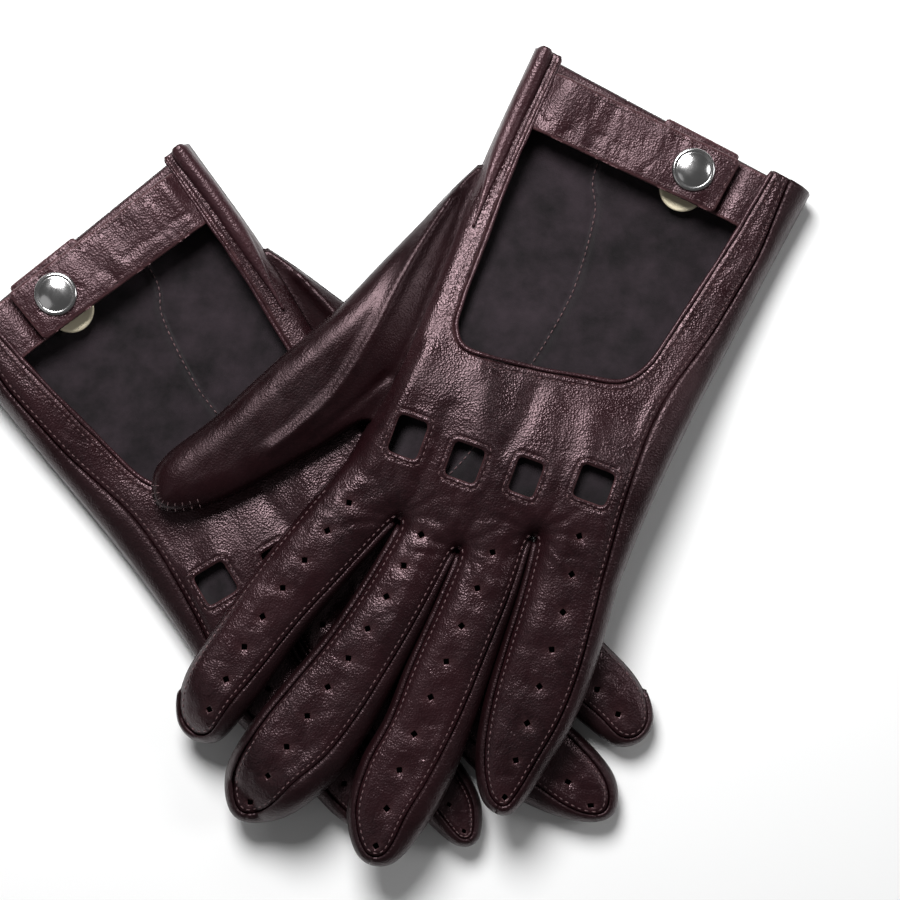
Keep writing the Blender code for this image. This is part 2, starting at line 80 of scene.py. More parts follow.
THUMB_SIDE = [(-44.6, 0), (-42.3, 35.6), (-37.9, 69), (-34.9, 101), (-35.8, 130.8)]
LITTLE_SIDE = [(48.4, 126), (45.9, 103.4), (44.6, 76), (44.6, 38), (44.6, 0)]
FINGERS = {
    "index": [(-35.8, 130.8), (-39.4, 146.3), (-43.4, 168), (-46.2, 190), (-47.2, 207), (-43.6, 218.4),
              (-37, 221.9), (-30.6, 218.2), (-27.6, 206), (-25.6, 192), (-23.6, 177), (-19.6, 158),
              (-15.7, 140)],
    "middle": [(-13.7, 140), (-14.6, 158), (-16.8, 177), (-20.4, 194), (-23.6, 211), (-23.4, 226),
               (-16.8, 235.3), (-8.8, 233.8), (-1.2, 224.5), (4.2, 210), (5.6, 196), (5.6, 180),
               (5, 160), (3.4, 139.4)],
    "ring": [(5, 139.4), (6.4, 158), (7.4, 174), (9.2, 190), (9, 204), (12.4, 218.4), (21.2, 227.8),
             (29.4, 225.2), (32.6, 212), (33, 199), (31, 180), (27.2, 158), (24, 140),
             (20.8, 126)],
    "little": [(22.4, 126), (25.6, 140), (28.8, 158), (32.2, 174), (37.4, 188), (44.6, 197),
               (51.6, 197.6), (54.2, 190), (55, 180), (55.6, 168), (54.6, 155), (51.6, 139.8),
               (48.4, 126)],
}
FINGER_TIPS = {"index": (-37, 221.9), "middle": (-13, 235.8), "ring": (24, 228.2), "little": (48.5, 198.8)}
CROTCH_DEPTH = 2.2
THUMB = [(-43.2, 38), (-46.3, 48), (-49.8, 61.8), (-53.8, 76.5), (-58.6, 94), (-67.4, 117), (-74.7, 137.9),
         (-81.6, 153.5), (-82, 161.5), (-77.6, 167.6), (-71, 166.4), (-62.8, 159), (-53.8, 146.5),
         (-44.8, 132.3), (-37.2, 119)]
THUMB_TIP = (-79.5, 166)
WINDOW = [(-36.8, -2), (-35.2, 20), (-33.4, 40), (-30.5, 60), (-28.2, 76), (-26, 83.5), (-19.5, 87),
          (-2.4, 83), (12, 78.4), (22, 74.6), (26.6, 68), (28.4, 58), (30, 40), (31.6, 20),
          (32.4, -2)]
KNUCKLE_HOLES = [(-23.4, 116.7, 8.2, 11), (-5.9, 115.4, 8.6, 10), (11.2, 110.9, 7, 10),
                 (29.1, 103.8, 9.3, 9.6)]
KNUCKLE_HOLE_TURN = math.radians(-8)
KNUCKLE_HOLE_POWER = 0.24
KNUCKLE_HOLE_BOW = 0.2
PALM_SEAM = [(-14, 0), (-12.5, 23.8), (-7, 34), (-3, 50.2), (-1.6, 62.7), (-2.5, 82.4), (-6, 112),
             (-12, 131), (-14.7, 136.6)]
PERFORATIONS = [([(-29.3, 140.9), (-32.5, 160.2), (-35.6, 181), (-36.5, 211.4)], 8),
                ([(-7.1, 139.2), (-8, 172.6), (-11.3, 200.9), (-13.8, 230.1)], 10),
                ([(13, 134), (16.3, 169.1), (19, 200.5), (23.4, 222.9)], 9),
                ([(32.3, 118.4), (38.8, 140.7), (44.7, 172.8), (49, 193.5)], 8)]
SNAP = (12.0, 10.9)

# ---------------------------------------------------------------- shape of the leather, mm

LEATHER = 0.9
EDGE_HEIGHT = 5.6
THUMB_OPENING_EDGE = 8.6
TOP_ROUND = 8.5
BOTTOM_ROUND = 5.0
GRID = 0.95
FINE_STEP = 0.1
ON_THE_LINE = 0.06
STITCH_INSET = 1.3
PERFORATION = 1.75
# Inset of a finger's top seam, at its root and near its tip, on the thumb side and on the little side.
FINGER_SEAMS = {
    "index": ((0.0, 0.0), (0.3, 4.2)),
    "middle": ((0.3, 1.7), (0.3, 7.0)),
    "ring": ((0.3, 1.5), (0.3, 6.4)),
    "little": ((0.4, 1.7), (4.0, 2.8)),
}
TIP_SEAM = 1.5
INDEX_TIP_SEAM = 0.9
INDEX_SEAM_STARTS = 0.78               # along the thumb side, from the root to the tip
SEAM_KNOTS_TO_TIP = (0.45, 0.86)
SEAM_KNOTS_FROM_TIP = (0.2, 0.55)
THUMB_OPENS_V = (36.0, 50.0)
THUMB_CLOSES_V = (104.0, 118.0)
GRID_ROWS = 0.866                      # gap between the rows of a staggered grid, over its step
SUEDE_THICKNESS = 0.4
RIM_OFFSETS = (0.25, 0.6, 1.0, 1.5, 2.0, 2.6)
HOLE_STITCH_INSET = 1.5
WINDOW_STITCH_INSET = 2.3
CROTCHES = [(-14.7, 138.0), (4.2, 137.4), (21.6, 123.5)]
THUMB_RIDGE = [(-45.2, 50.0), (-46.4, 70.0), (-46.0, 95.0), (-47.4, 114.4), (-52.4, 130.0), (-56.0, 138.0)]
QUIRK = [(-37.0, 104.0), (-41.6, 117.0), (-47.0, 130.3)]
LITTLE_SEAM = [(0, 7), (23, 4.2), (50, 5.4), (72, 9), (84, 8.8), (104, 6.6), (126, 4)]


def smoothstep(low, high, value):
    t = np.clip((value - low) / (high - low), 0.0, 1.0)
    return t * t * (3.0 - 2.0 * t)


def glove_axes(side):
    turn = TURNS[side]
    flip = 1.0 if side == "left" else -1.0
    return np.array(CUFFS[side]), np.array([flip * math.cos(turn), -math.sin(turn)]), \
        np.array([-flip * math.sin(turn), -math.cos(turn)])


def base_height(side, plan, v):
    if side == "right":
        return np.zeros(len(plan))
    cuff, across, _ = glove_axes("right")
    past = np.maximum(0.0, (plan - cuff) @ across - DROOP_STARTS)
    droop = np.minimum(DROOP_MOST, DROOP_RATE * past * past)
    return TABLE_CLEARANCE + (CROSSING_HEIGHT - TABLE_CLEARANCE) * smoothstep(*CROSSING_SLOPE_V, v) - droop


def gathered(points):
    s, v, h = points.T
    past = np.maximum(0.0, v - GATHER_STARTS_V)
    shortening = GATHER_LEAST + GATHER_MORE * smoothstep(*GATHER_S, s)
    inward = INWARD_SHIFT * smoothstep(*INWARD_S, s) * smoothstep(0.0, INWARD_V, past)
    return np.column_stack([s - inward, v - past * shortening, h])


def place(side, points):
    """Pattern points (s, v, h) in millimetres as frame points in metres."""
    points = np.asarray(points, float).reshape(-1, 3)
    if side == "right":
        points = gathered(points)
    cuff, across, along = glove_axes(side)
    plan = cuff + points[:, :1] * across + points[:, 1:2] * along
    return np.column_stack([plan, base_height(side, plan, points[:, 1]) + points[:, 2]]) * MM


# ---------------------------------------------------------------- curves, distances and noise

def smooth_line(points, step):
    points = np.asarray(points, float)
    padded = np.vstack([2 * points[0] - points[1], points, 2 * points[-1] - points[-2]])
    t = np.linspace(0.0, 1.0, 24, endpoint=False)[:, None]
    dense = []
    for a, b, c, d in zip(padded, padded[1:], padded[2:], padded[3:]):
        dense.append(0.5 * (2 * b + (c - a) * t + (2 * a - 5 * b + 4 * c - d) * t ** 2
                            + (3 * b - a - 3 * c + d) * t ** 3))
    dense = np.vstack(dense + [points[-1:]])
    reach = run_length(dense)
    wanted = np.linspace(0.0, reach[-1], max(2, round(reach[-1] / step) + 1))
    return np.column_stack([np.interp(wanted, reach, dense[:, k]) for k in range(dense.shape[1])])


def run_length(line):
    return np.concatenate([[0.0], np.cumsum(np.linalg.norm(np.diff(line, axis=0), axis=1))])


def evenly(closed, step):
    """A closed line's points at even steps; its first and last points are the same one."""
    reach = run_length(closed)
    wanted = np.linspace(0.0, reach[-1], round(reach[-1] / step), endpoint=False)
    return np.column_stack([np.interp(wanted, reach, closed[:, k]) for k in (0, 1)])


def normals_of(line):
    """Unit normals to the right of a line, seen along it."""
    run = np.gradient(line[:, :2], axis=0)
    run /= np.maximum(np.linalg.norm(run, axis=1)[:, None], 1e-9)
    return np.column_stack([run[:, 1], -run[:, 0]])


def blurred(values, width):
    kernel = np.exp(-0.5 * (np.arange(-3 * width, 3 * width + 1) / width) ** 2)
    kernel /= kernel.sum()
    padded = np.pad(values, [(3 * width, 3 * width)] + [(0, 0)] * (values.ndim - 1), mode="edge")
    if values.ndim == 1:
        return np.convolve(padded, kernel, "valid")
    return np.column_stack([np.convolve(padded[:, k], kernel, "valid") for k in range(values.shape[1])])


def inside(points, polygon):
    ends = np.roll(polygon, -1, axis=0)
    result = np.zeros(len(points), bool)
    for (ax, ay), (bx, by) in zip(polygon, ends):
        if ay == by:
            continue
        crosses = (points[:, 1] > min(ay, by)) & (points[:, 1] <= max(ay, by))
        result ^= crosses & (points[:, 0] < ax + (points[:, 1] - ay) * (bx - ax) / (by - ay))
    return result


class Near:
    """Distance from points to the nearest of a set of points, and which it is."""

    def __init__(self, points):
        self.tree = kdtree.KDTree(len(points))
        for i, (s, v) in enumerate(points):
            self.tree.insert((s, v, 0.0), i)
        self.tree.balance()

    def __call__(self, points):
        found = [self.tree.find((s, v, 0.0)) for s, v in points]
        gaps = np.array([f[2] for f in found])
        return np.maximum(0.0, gaps - ON_THE_LINE), np.array([f[1] for f in found])


def lattice(ix, iy, seed):
    n = (ix * 374761393 + iy * 668265263 + seed * 982451653) & 0xFFFFFFFF
    n = ((n ^ (n >> 13)) * 1274126177) & 0xFFFFFFFF
    return ((n ^ (n >> 16)) & 0xFFFF) / 32767.5 - 1.0


def noise(x, y, seed):
    """Smooth noise between -1 and 1 with features about one unit apart."""
    ix, iy = np.floor(x).astype(np.int64), np.floor(y).astype(np.int64)
    fx, fy = x - ix, y - iy
    fx, fy = fx * fx * (3 - 2 * fx), fy * fy * (3 - 2 * fy)
    low = lattice(ix, iy, seed) * (1 - fx) + lattice(ix + 1, iy, seed) * fx
    high = lattice(ix, iy + 1, seed) * (1 - fx) + lattice(ix + 1, iy + 1, seed) * fx
    return low * (1 - fy) + high * fy


def creases(points, angle, length, gap, seed):
    """Fine pulled lines that run along an angle: 0 between them, down to -1 in each."""
    cos, sin = math.cos(angle), math.sin(angle)
    along = points[:, 0] * cos + points[:, 1] * sin
    over = -points[:, 0] * sin + points[:, 1] * cos
    bend = noise(along / length, over / (6 * gap), seed + 7) * gap
    return -np.maximum(0.0, 1.0 - np.abs(noise(along / length, (over + bend) / gap, seed)) * 5.0)


def rounded(x):
    x = np.clip(x, 0.0, 1.0)
    return np.sqrt(1.0 - (1.0 - x) ** 2)


def full_height(v):
    at_cuff = (CUFF_HEIGHT - HAND_HEIGHT) * (1 - smoothstep(*CUFF_SLOPE_V, v))
    at_tips = (HAND_HEIGHT - TIP_HEIGHT) * smoothstep(*TIP_SLOPE_V, v)
    return HAND_HEIGHT + at_cuff - at_tips


# ---------------------------------------------------------------- outlines

class Hand:
    """The hand's outline with its top seam, and the heights that follow from them."""

    def __init__(self):
        thumb_edge = smooth_line(THUMB_SIDE, 1.0)
        little_edge = smooth_line(LITTLE_SIDE, 1.0)
        points, insets, self.spans = [thumb_edge[:-1]], [np.zeros(len(thumb_edge) - 1)], {}
        self.spans["cuff"] = (0, len(thumb_edge) - 1)
        start = len(points[0])
        names = list(FINGERS)
        for number, finger in enumerate(names):
            curve = smooth_line(FINGERS[finger], 1.0)
            tip = int(np.linalg.norm(curve - FINGER_TIPS[finger], axis=1).argmin())
            (root_a, end_a), (root_b, end_b) = FINGER_SEAMS[finger]
            last = len(curve) - 1
            tip_inset = INDEX_TIP_SEAM if finger == "index" else TIP_SEAM
            up = [tip * k for k in SEAM_KNOTS_TO_TIP]
            down = [tip + (last - tip) * k for k in SEAM_KNOTS_FROM_TIP]
            sizes = [root_a, (root_a + end_a) / 2, end_a, tip_inset, end_b, (root_b + end_b) / 2, root_b]
            inset = np.interp(np.arange(len(curve)), [0, *up, tip, *down, last], sizes)
            self.spans[finger] = (start, start + tip, start + last)
            points.append(curve)
            insets.append(inset)
            start += len(curve)
            if finger != names[-1]:
                following = np.array(FINGERS[names[number + 1]][0])
                bottom = (curve[-1] + following) / 2 - [0.0, CROTCH_DEPTH]
                turn = smooth_line([curve[-1], bottom, following], 0.6)[1:-1]
                points.append(turn)
                insets.append(np.zeros(len(turn)))
                start += len(turn)
        points.append(little_edge[1:])
        insets.append(np.interp(little_edge[1:, 1], *np.array(LITTLE_SEAM).T))
        self.spans["little_side"] = (start, start + len(little_edge) - 1)
        self.points = np.vstack(points)
        self.inset = blurred(np.concatenate(insets), 3)
        self.normals = blurred(normals_of(self.points), 2)
        self.normals /= np.linalg.norm(self.normals, axis=1)[:, None]
        seam = blurred(self.points + self.normals * self.inset[:, None], 2)
        still = (self.inset < 0.05)[:, None]
        self.seam = np.where(still, self.points, seam)
        self.seam[0] = self.points[0] + [self.inset[0], 0]
        self.seam[-1] = self.points[-1] - [self.inset[-1], 0]
        self.stitch_line = blurred(self.points + self.normals * (self.inset + STITCH_INSET)[:, None], 2)
        v = self.points[:, 1]
        opening = smoothstep(*THUMB_OPENS_V, v) * (1 - smoothstep(*THUMB_CLOSES_V, v))
        opening *= self.points[:, 0] < 0
        self.edge_height = EDGE_HEIGHT + (THUMB_OPENING_EDGE - EDGE_HEIGHT) * opening
        dense = smooth_line(self.points, FINE_STEP)
        self.near = Near(dense)
        self.dense_edge_height = np.interp(run_length(dense), run_length(self.points), self.edge_height)

    def outer(self, points):
        """Height of the rounded back over the outline, before any detail."""
        gap, nearest = self.near(points)
        edge = self.dense_edge_height[nearest]
        return edge + (full_height(points[:, 1]) - edge) * rounded(gap / TOP_ROUND)


def window_line(step):
    line = smooth_line(WINDOW, step)
    return line[line[:, 1] > 0.3]


def knuckle_hole(s, v, width, height, grow=0.0, step=0.55):
    """A slightly turned rectangle with soft corners and bowed sides, as evenly spaced points."""
    cos, sin = math.cos(KNUCKLE_HOLE_TURN), math.sin(KNUCKLE_HOLE_TURN)
    turn = np.linspace(0.0, 2 * math.pi, 721)
    x = np.sign(np.cos(turn)) * np.abs(np.cos(turn)) ** KNUCKLE_HOLE_POWER * (width / 2 + grow)
    y = np.sign(np.sin(turn)) * np.abs(np.sin(turn)) ** KNUCKLE_HOLE_POWER * (height / 2 + grow)
    x = x + KNUCKLE_HOLE_BOW * np.cos(turn)
    return evenly(np.column_stack([s + x * cos - y * sin, v + x * sin + y * cos]), step)


def perforation_squares():
    squares = []
    for route, count in PERFORATIONS:
        line = smooth_line(route, 0.5)
        reach = run_length(line)
        run = np.gradient(line, axis=0)
        for number, at in enumerate(np.linspace(0.0, reach[-1], count)):
            i = int(np.abs(reach - at).argmin())
            turn = math.atan2(run[i, 1], run[i, 0]) + 0.35 * math.sin(number * 2.3 + line[0, 0])
            corners = np.array([(math.cos(turn + k * math.pi / 2), math.sin(turn + k * math.pi / 2))
                                for k in range(4)]) * PERFORATION * 0.62
            squares.append(line[i] + np.vstack([corners[k] * (1 - f) + corners[(k + 1) % 4] * f
                                                for k in range(4) for f in (0.0, 0.5)]))
    return squares


# ---------------------------------------------------------------- meshes

def new_object(name, vertices, faces, materials):
    mesh = bpy.data.meshes.new(name)
    mesh.from_pydata([tuple(v) for v in vertices], [], [tuple(int(i) for i in f) for f in faces])
    for surface in materials:
        mesh.materials.append(surface)
    mesh.update()
    mesh.shade_smooth()
    made = bpy.data.objects.new(name, mesh)
    bpy.context.scene.collection.objects.link(made)
    return made


def thicken(made, thickness, inner=0):
    solid = made.modifiers.new("leather thickness", "SOLIDIFY")
    solid.thickness = thickness * MM
    solid.offset = -1.0
    solid.use_even_offset = False
    solid.material_offset = inner
    return made


def triangulated(boundary, holes, free):
    """Triangles that fill an outline with holes, through the free points too."""
    loops = [boundary] + holes
    fixed = np.vstack(loops)
    points = np.vstack([fixed, free]) if len(free) else fixed
    edges, start = [], 0
    for loop in loops:
        edges += [(start + i, start + (i + 1) % len(loop)) for i in range(len(loop))]
        start += len(loop)
    result = delaunay_2d_cdt([Vector(p) for p in points], edges, [], 0, 1e-5)
    flat = np.array([tuple(p) for p in result[0]])
    faces = np.array(result[2])
    middles = flat[faces].mean(1)
    keep = inside(middles, boundary)
    for hole in holes:
        keep &= ~inside(middles, hole)
    faces = faces[keep]
    used, renumbered = np.unique(faces, return_inverse=True)
    return flat[used], renumbered.reshape(faces.shape)


def filling(boundary, holes, rings, step):
    """Free points for a sheet: rings just inside its edges, and a staggered grid."""
    near = Near(np.vstack([smooth_closed(loop) for loop in [boundary] + holes]))
    inward = normals_of(np.vstack([boundary, boundary[:1]]))[:-1]
    kept = []
    for offset in rings:
        ring = boundary + inward * offset
        gap, _ = near(ring)
        kept.append(ring[(gap > offset * 0.8) & inside(ring, boundary)])
    low, high = boundary.min(0), boundary.max(0)
    rows = np.arange(low[1], high[1], step * GRID_ROWS)
    columns = np.arange(low[0], high[0], step)
    grid = np.array([(x + (k % 2) * step / 2, y) for k, y in enumerate(rows) for x in columns])
    last = rings[-1] if rings else 0.0
    gap, _ = near(grid)
    kept.append(grid[(gap > last + step * 0.5) & inside(grid, boundary)])
    free = np.vstack(kept)
    for hole in holes:
        free = free[~inside(free, hole)]
    return free


def smooth_closed(loop):
    return evenly(np.vstack([loop, loop[:1]]), FINE_STEP)


def upward(vertices, faces):
    """Faces wound so that a sheet seen from above shows its outside."""
    a, b, c = (vertices[faces[:, k]] for k in range(3))
    turn = (b[:, 0] - a[:, 0]) * (c[:, 1] - a[:, 1]) - (b[:, 1] - a[:, 1]) * (c[:, 0] - a[:, 0])
    faces = faces.copy()
    faces[turn < 0] = faces[turn < 0][:, ::-1]
    return faces


def loft(name, side, rows, materials, thickness=0.0, flip=False, closed=False):
    """A surface through rows of pattern points; each row is one line along the piece."""
    grid = np.stack(rows)
    count, length = grid.shape[:2]
    vertices = place(side, grid.reshape(-1, 3))
    faces = []
    for j in range(count if closed else count - 1):
        for i in range(length - 1):
            a, b = j * length + i, ((j + 1) % count) * length + i
            face = (a, a + 1, b + 1, b)
            faces.append(face[::-1] if flip else face)
    if closed:
        faces.append([j * length for j in range(count)][::1 if not flip else -1])
        faces.append([j * length + length - 1 for j in range(count)][::-1 if not flip else 1])
    made = new_object(name, vertices, faces, materials)
    return thicken(made, thickness) if thickness else made


def tube(name, side, line, heights, radii, materials, sides=10, squash=1.0):
    """A cord of leather along a line, wider than high where squash is under 1."""
    normal = normals_of(line)
    rows = []
    for k in range(sides):
        turn = 2 * math.pi * k / sides
        plan = line + normal * (radii * math.cos(turn))[:, None]
        rows.append(np.column_stack([plan, heights + radii * squash * math.sin(turn)]))
    return loft(name, side, rows, materials, closed=True, flip=True)


def turned(name, side, centre, profile, materials, sides=72):
    """A round piece about an upright axis; its profile of (radius, height) starts and ends on the axis."""
    axis = place(side, [(*centre, 0.0)])[0]
    turn = np.linspace(0.0, 2 * math.pi, sides, endpoint=False)
    vertices = [axis + np.array([0, 0, profile[0][1]]) * MM]
    for radius, height in profile[1:-1]:
        ring = np.column_stack([radius * np.cos(turn), radius * np.sin(turn), np.full(sides, height)]) * MM
        vertices += list(axis + ring)
    vertices.append(axis + np.array([0, 0, profile[-1][1]]) * MM)
    faces, count = [], len(profile) - 2
    for i in range(sides):
        j = (i + 1) % sides
        faces.append((0, 1 + j, 1 + i))
        for k in range(count - 1):
            a, b = 1 + k * sides, 1 + (k + 1) * sides
            faces.append((a + i, a + j, b + j, b + i))
        a = 1 + (count - 1) * sides
        faces.append((a + i, a + j, len(vertices) - 1))
    made = new_object(name, vertices, faces, materials)
    made.data.set_sharp_from_angle(angle=math.radians(50.0))
    return made


# A stitch's rings: how far along it, how wide and how much higher, over its length, its radius and in mm.
STITCH_RINGS = ((-0.5, 0.25, -0.2), (-0.3, 0.9, 0.05), (0.0, 1.0, 0.12), (0.3, 0.9, 0.05), (0.5, 0.25, -0.2))
STITCH_SIDES = 5
STITCH_LOOK_AHEAD = 0.3


def stitches(name, side, runs, gap=1.9, length=1.35, radius=0.19):
    """Thread along lines, a bead for each stitch; a run is (line, height of the surface on it)."""
    vertices, faces = [], []
    sides, rings = STITCH_SIDES, STITCH_RINGS
    for line, height in runs:
        reach = run_length(line)
        if reach[-1] < gap * 2:
            continue
        at = np.arange(gap / 2, reach[-1] - gap / 2, gap)
        spots = np.column_stack([np.interp(at, reach, line[:, k]) for k in (0, 1)])
        further = at + STITCH_LOOK_AHEAD
        ahead = np.column_stack([np.interp(further, reach, line[:, k]) for k in (0, 1)])
        top, top_ahead = np.interp(at, reach, height), np.interp(further, reach, height)
        centres = place(side, np.column_stack([spots, top]))
        forward = place(side, np.column_stack([ahead, top_ahead])) - centres
        forward /= np.linalg.norm(forward, axis=1)[:, None]
        for centre, along in zip(centres, forward):
            across = np.cross(along, (0.0, 0.0, 1.0))
            across /= np.linalg.norm(across)
            up = np.cross(across, along)
            start = len(vertices)
            for offset, width, lift in rings:
                for k in range(sides):
                    turn = 2 * math.pi * k / sides
                    out = across * math.cos(turn) * width * radius
                    rise = up * (math.sin(turn) * width * radius + lift)
                    vertices.append(centre + (along * offset * length + out + rise) * MM)
            for j in range(len(rings) - 1):
                for k in range(sides):
                    a, b = start + j * sides + k, start + j * sides + (k + 1) % sides
                    faces.append((a, b, b + sides, a + sides))
            faces.append(tuple(start + k for k in reversed(range(sides))))
            faces.append(tuple(start + (len(rings) - 1) * sides + k for k in range(sides)))
    return new_object(name, vertices, faces, [THREAD])


# ---------------------------------------------------------------- materials

class Nodes:
    """Short helpers for one material's node tree."""

    def __init__(self, name):
        self.material = bpy.data.materials.new(name)
        self.material.use_nodes = True
        self.tree = self.material.node_tree
        self.shader = self.tree.nodes["Principled BSDF"]
        self.place = self.add("ShaderNodeTexCoord").outputs["Object"]

    def add(self, kind, **values):
        node = self.tree.nodes.new(kind)
        for key, value in values.items():
            setattr(node, key, value)
        return node

    def link(self, source, target):
        self.tree.links.new(source, target)

    def to_shader(self, source, socket):
        self.link(source, self.shader.inputs[socket])

    def set(self, **values):
        for key, value in values.items():
            self.shader.inputs[key.replace("_", " ")].default_value = value

    def turned(self, angle, stretch):
        mapping = self.add("ShaderNodeMapping", vector_type="TEXTURE")
        mapping.inputs["Rotation"].default_value = (0.0, 0.0, angle)
        mapping.inputs["Scale"].default_value = stretch
        self.link(self.place, mapping.inputs["Vector"])
        return mapping.outputs["Vector"]

    def noise(self, scale, detail=3.0, roughness=0.55, vector=None, distortion=0.0):
        node = self.add("ShaderNodeTexNoise")
        node.inputs["Scale"].default_value = scale
        node.inputs["Detail"].default_value = detail
        node.inputs["Roughness"].default_value = roughness
        node.inputs["Distortion"].default_value = distortion
        self.link(vector or self.place, node.inputs["Vector"])
        return node.outputs["Fac"]

    def cells(self, scale):
        node = self.add("ShaderNodeTexVoronoi")
        node.inputs["Scale"].default_value = scale
        self.link(self.place, node.inputs["Vector"])
        return node.outputs["Distance"]

    def two_tone(self, fac, dark, light, low=0.3, high=0.7):
        node = self.add("ShaderNodeValToRGB")
        for element, position, colour in zip(node.color_ramp.elements, (low, high), (dark, light)):
            element.position = position
            element.color = (*colour, 1.0)
        self.link(fac, node.inputs["Fac"])
        return node.outputs["Color"]

    def scaled(self, fac, low, high):
        node = self.add("ShaderNodeMapRange")
        node.inputs["From Min"].default_value = 0.3
        node.inputs["From Max"].default_value = 0.7
        node.inputs["To Min"].default_value = low
        node.inputs["To Max"].default_value = high
        self.link(fac, node.inputs["Value"])
        return node.outputs["Result"]

    def mix(self, fac, a, b):
        node = self.add("ShaderNodeMix", data_type="RGBA")
        for socket, value in ((node.inputs[0], fac), (node.inputs[6], a), (node.inputs[7], b)):
            if hasattr(value, "is_output"):
                self.link(value, socket)
            else:
                socket.default_value = value
        return node.outputs[2]

    def bump(self, layers):
        """Bumps one over another: (height, depth in millimetres, strength)."""
        normal = None
        for height, depth, strength in layers:
            node = self.add("ShaderNodeBump")
            node.inputs["Distance"].default_value = depth * MM
            node.inputs["Strength"].default_value = strength
            self.link(height, node.inputs["Height"])
            if normal:
                self.link(normal, node.inputs["Normal"])
            normal = node.outputs["Normal"]
        self.link(normal, self.shader.inputs["Normal"])


# Lighter, pinkish colour along cut rims and edges: partly worn raw edge, partly a painted highlight on the
# rims.
WEAR_AND_HIGHLIGHT_COLOUR = (0.160, 0.075, 0.080, 1.0)
LEATHER_GLINT = (1.0, 0.70, 0.76, 1.0)
CREASE_STRETCH = (2.8, 1.0, 1.0)


def leather_material(name, dark, light, roughness, angle, grain=1.0, stretch=2.0, cross=0.3, pebble=1.0,
                     gloss=0.5, fineness=1.0):
    """Leather with creases, a finer directed grain and pebbles; angle is the way the glove lies."""
    nodes = Nodes(name)
    colour = nodes.two_tone(nodes.noise(38.0, 4.0), dark, light, 0.35, 0.65)
    flecks = nodes.scaled(nodes.noise(900.0, 2.0), 0.0, 0.35)
    colour = nodes.mix(flecks, colour, (*[c * 1.6 for c in light], 1.0))
    # This attribute lightens rims and edges: worn raw edge and painted highlight.
    worn_and_lit = nodes.add("ShaderNodeAttribute", attribute_name="wear_and_highlight")
    nodes.to_shader(nodes.mix(worn_and_lit.outputs["Fac"], colour, WEAR_AND_HIGHLIGHT_COLOUR), "Base Color")
    nodes.to_shader(nodes.scaled(nodes.noise(120.0, 3.0), roughness - 0.07, roughness + 0.09), "Roughness")
    nodes.set(Specular_IOR_Level=gloss, Specular_Tint=LEATHER_GLINT)
    across = nodes.turned(angle + cross, CREASE_STRETCH)
    along = nodes.turned(angle, (1.0, stretch, 1.0))
    creased = nodes.noise(300.0 * fineness, 3.0, 0.6, across, 0.6)
    grained = nodes.noise(620.0 * fineness, 3.0, 0.6, along, 0.5)
    nodes.bump([(creased, 0.22 * grain / fineness, 0.5),
                (grained, 0.08 * grain * stretch / fineness, 0.6),
                (nodes.cells(1750.0), 0.13 * grain * pebble, 0.75)])
    return nodes.material


def suede_material(name, dark, light):
    nodes = Nodes(name)
    nodes.to_shader(nodes.two_tone(nodes.noise(95.0, 6.0, 0.65), dark, light), "Base Color")
    nodes.set(Roughness=0.95, Specular_IOR_Level=0.15, Sheen_Weight=0.14, Sheen_Roughness=0.6)
    nodes.bump([(nodes.noise(260.0, 4.0), 0.3, 0.5), (nodes.noise(2400.0, 2.0), 0.12, 0.7)])
    return nodes.material


def thread_material():
    nodes = Nodes("burgundy thread")
    nodes.to_shader(nodes.two_tone(nodes.noise(700.0, 2.0), *THREAD_COLOURS), "Base Color")
    nodes.set(Roughness=0.62, Sheen_Weight=0.2)
    nodes.bump([(nodes.noise(3000.0, 1.0), 0.06, 0.6)])
    return nodes.material


def metal_material(name, colour, roughness, scratch, metallic=1.0):
    nodes = Nodes(name)
    nodes.set(Metallic=metallic, Base_Color=(*colour, 1.0))
    nodes.to_shader(nodes.scaled(nodes.noise(260.0, 4.0), roughness, roughness + 0.1), "Roughness")
    fine = nodes.turned(0.5, (1.0, 16.0, 1.0))
    nodes.bump([(nodes.noise(2600.0, 2.0, 0.5, fine), 0.012, scratch)])
    return nodes.material


def floor_material():
    nodes = Nodes("pale paper")
    nodes.to_shader(nodes.two_tone(nodes.noise(6.0, 2.0), *PAPER_COLOURS), "Base Color")
    nodes.set(Roughness=0.85, Specular_IOR_Level=0.2)
    return nodes.material


DEEP = (0.0040, 0.0011, 0.0015)
RED = (0.0130, 0.0036, 0.0048)
QUARTER = math.pi / 2
LEATHERS = {                           # name, dark, light, roughness, how its grain differs
    "back": ("burgundy leather", DEEP, RED, 0.31, {"fineness": 1.25}),
    # The thumb's copy of the leather is darker than the back's: painted shade, because the thumb lies in
    # shade.
    "thumb": ("thumb leather", (0.0032, 0.0009, 0.0012), (0.0085, 0.0024, 0.0031), 0.32,
              {"grain": 0.6, "stretch": 3.0, "cross": QUARTER, "pebble": 0.7, "gloss": 0.27}),
    # The fourchettes' copy is darker than the back's: painted shade of the grooves between the fingers.
    "side": ("fourchette leather in painted shade", (0.0035, 0.0010, 0.0013), (0.0095, 0.0027, 0.0035), 0.38, {"gloss": 0.4}),
    # The strap's copy is lighter than the back's: a painted highlight for the strap's satin sheen.
    "strap": ("strap leather", (0.0080, 0.0025, 0.0033), (0.0200, 0.0064, 0.0082), 0.33,
              {"grain": 1.3, "stretch": 3.6, "cross": QUARTER, "pebble": 0.7, "fineness": 1.8}),
    # The edges' copy, used for the window welt, rolled cuff edge, cuff hem and cuff tab, is lighter than the
    # back's: a painted highlight on the rolled edges.
    "edge": ("edge leather with painted highlight", (0.0100, 0.0032, 0.0042), (0.0240, 0.0078, 0.0100), 0.34,
             {"grain": 0.8, "fineness": 1.3}),
}
SUEDE_COLOURS = (0.0035, 0.0023, 0.0030), (0.0230, 0.0155, 0.0200)
